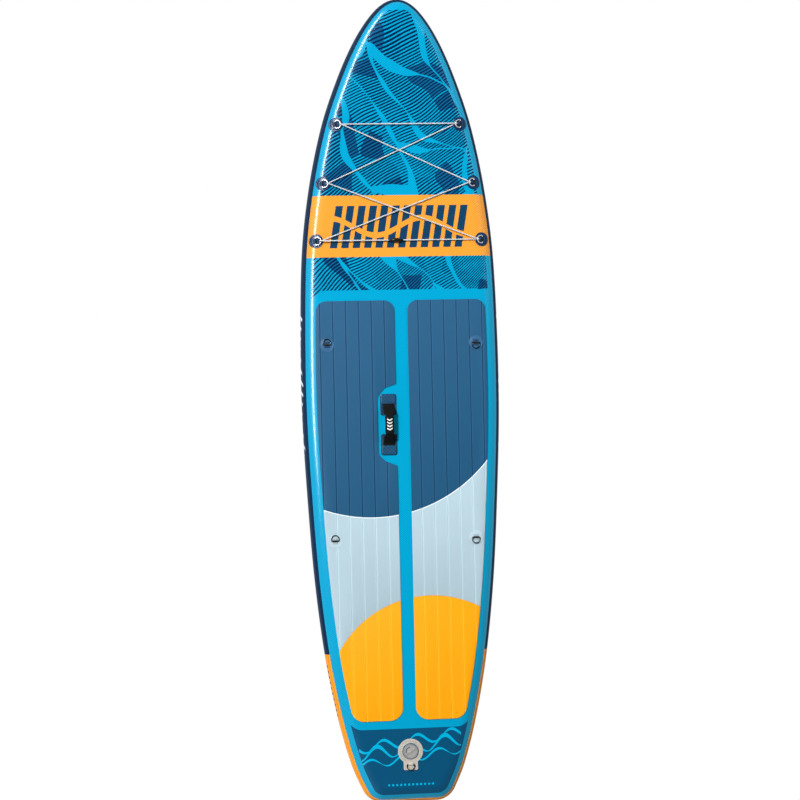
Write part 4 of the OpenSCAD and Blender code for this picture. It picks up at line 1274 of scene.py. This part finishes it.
def make_valve():
    ivory = pvc_paint("valve_ivory", srgb(194, 189, 178), 0.42, 300)
    slate = pvc_paint("valve_dark", srgb(58, 104, 140), 0.4, 300)
    silver = Paint("valve_silver", 0.34, 0.6, Metallic=0.35)
    brushed = silver.noise(500, 3, silver.join(silver.x * 0.12, silver.y, silver.z))
    silver.colour(silver.mix(brushed, srgb(172, 171, 168), srgb(206, 205, 201)))
    silver.bump(brushed, 0.0001, 0.5)
    dress(ivory, 0.5, "valve_plate")
    dress(slate, 0, "valve_body")
    dress(slate, 0.3, "valve_nut")
    dress(silver, 0.5, "valve_cap")
    dress(pvc_paint("stem_white", srgb(220, 220, 214), 0.4), 0.3, "valve_stem")
    dress(pvc_paint("seal_rubber", srgb(26, 26, 27), 0.6), 0, "valve_seal", "cap_seal")
    dress(pvc_paint("ring_black", srgb(20, 20, 20), 0.35), 0, "leash_ring")
    steel = metal_paint("spring_steel", srgb(190, 190, 194), 0.3)
    spring = piece("valve_coil", coil(), steel, ["valve_spring"], sharp=60)
    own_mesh(spring)
    dial = [ring_bar(r, 0.5, Z_FLANGE - 0.1, Z_FLANGE + 0.5) for r in (46.6, 35.0)]
    piece("valve_dial", joined(dial), ivory, sharp=50)
    marks = [
        arc_bar(41, a - 1.1, a + 1.1, 2.6 if a % 30 else 3.8, Z_FLANGE - 0.1, Z_FLANGE + 0.35, 2)
        for a in range(-60, 241, 10)
    ]
    grey = pvc_paint("valve_ticks", srgb(150, 142, 130), 0.45, 300, "valve_ivory")
    piece("valve_ticks", joined(marks), grey, sharp=50)
    relief = [arc_bar(18.5, 100, 205, 1.8, CAP_TOP - 0.1, CAP_TOP + 0.45)]
    relief.append(ring_bar(26.4, 0.5, CAP_TOP - 0.1, CAP_TOP + 0.4))
    dark = pvc_paint("cap_marks", srgb(84, 84, 86), 0.4, 300, "valve_silver")
    piece("cap_relief", joined(relief), dark, body="valve_cap", sharp=50)
    keeper = webbing_paint("keeper_webbing", srgb(214, 208, 196), slot="valve_ivory")
    loop = moved(move((0, LEASH_Y, Z_FLANGE)), LOOP)
    piece("leash_webbing", loop, keeper, ["leash_keeper"], sharp=60, weave=LOOP_WEAVE)


# ---- fins ----

Z_BOX = Z_BOTTOM - 20
FIN_REAR_Y, FIN_FRONT_Y = -1418, -1272
SIDE_FIN_AT = (165, -1180)


def bezier(a, b, c, d, t):
    s = 1 - t
    return [p * s**3 + q * 3 * s * s * t + r * 3 * s * t * t + w * t**3 for p, q, r, w in zip(a, b, c, d)]


def foil(front, rear, tip, z_top, z_tip, thick):
    """A swept blade whose sections are streamlined from its leading to its trailing edge."""
    steps, around = 36, 28
    z_half, z_low = z_tip + 0.5 * (z_top - z_tip), z_tip + 0.02 * (z_top - z_tip)
    loops = []
    for k in range(steps + 1):
        t = min(k / steps, 0.992)
        lead = bezier((front, z_top), (front - 22, z_half), (tip + 60, z_tip), (tip, z_tip), t)
        trail = bezier((tip, z_tip), (tip - 16, z_low), (rear + 34, z_half), (rear, z_top), 1 - t)
        half = (thick / 2) * (1 - 0.62 * t)
        loop = []
        for j, (c, s) in enumerate(circle(around)):
            u = (1 - c) / 2
            shape = 2.6 * sqrt(u) * (1 - u) ** 0.8 + 0.04 * (1 - u)
            side = copysign(1, s) if j % (around // 2) else 0
            x = side * half * min(1.0, max(0.07, shape))
            loop.append((x, lead[0] + (trail[0] - lead[0]) * u, lead[1] + (trail[1] - lead[1]) * u))
        loops.append(loop)
    return loft(loops)


def block(x, y0, y1, z0, z1):
    """A bar with softened upright edges."""
    shape = rounded([(-x, y0, 0.5), (x, y0, 0.5), (x, y1, 0.5), (-x, y1, 0.5)], 3)
    return loft([[(px, py, z) for px, py in shape] for z in (z0, z1)])


def fin_paint():
    """Glossy glass-filled nylon with flow marks and fine scratches along the blade."""
    paint = Paint("fin_black", 0.22, Coat_Weight=0.3)
    streaks = paint.noise(26, 4, paint.join(paint.x, paint.y * 0.25, paint.z * 1.6))
    paint.colour(paint.mix(streaks, srgb(18, 18, 20), srgb(38, 38, 42)))
    paint.rough(paint.noise(240, 3) * 0.16 + 0.16)
    paint.bump(paint.noise(500, 3), 0.00008, 0.4)
    return paint


def make_fins():
    black = fin_paint()
    blade = foil(FIN_FRONT_Y, FIN_REAR_Y, -1452, Z_BOX - 0.3, 0.0, 9)
    tab = block(4.5, FIN_REAR_Y, -1300, Z_BOX - 0.4, Z_BOX + 16)
    tongue = block(4.5, -1300.5, -1248.5, Z_BOX - 0.4, Z_BOX + 7)
    piece("fin_blade", joined([blade, tab, tongue]), black, ["centre_fin"], body="fin")
    z_base = Z_BOTTOM - 3.02
    for side, word in SIDES:
        blade = foil(60, -62, -72, z_base + 0.2, Z_BOTTOM - 115, 7)
        rim = ((1.6, 0), (0.5, 0.5), (0, 1.6), (0, 3))
        foot = plate((26, 150, 12.9), [(inset, z_base + z) for inset, z in rim])
        at = move((side * SIDE_FIN_AT[0], SIDE_FIN_AT[1], 0)) @ turned(radians(side * 2))
        piece(f"side_blade_{word}", moved(at, joined([blade, foot])), black, [f"side_fin_{word}"])
    dress(pvc_paint("box_black", srgb(28, 28, 30), 0.45, 300), 0.5, "fin_box")
    dress(metal_paint("screw_steel", srgb(188, 188, 192), 0.3), 0, "fin_pin", "fin_screw")
    dress(metal_paint("nut_brass", srgb(196, 160, 84), 0.34), 0.3, "fin_nut")
    dress(pvc_paint("thread", srgb(228, 228, 218), 0.7), 0, "drop_stitch_threads")


make_camera()
make_studio()
make_hull()
make_rails()
make_pads()
make_rings()
make_cord()
make_handle()
make_valve()
make_fins()
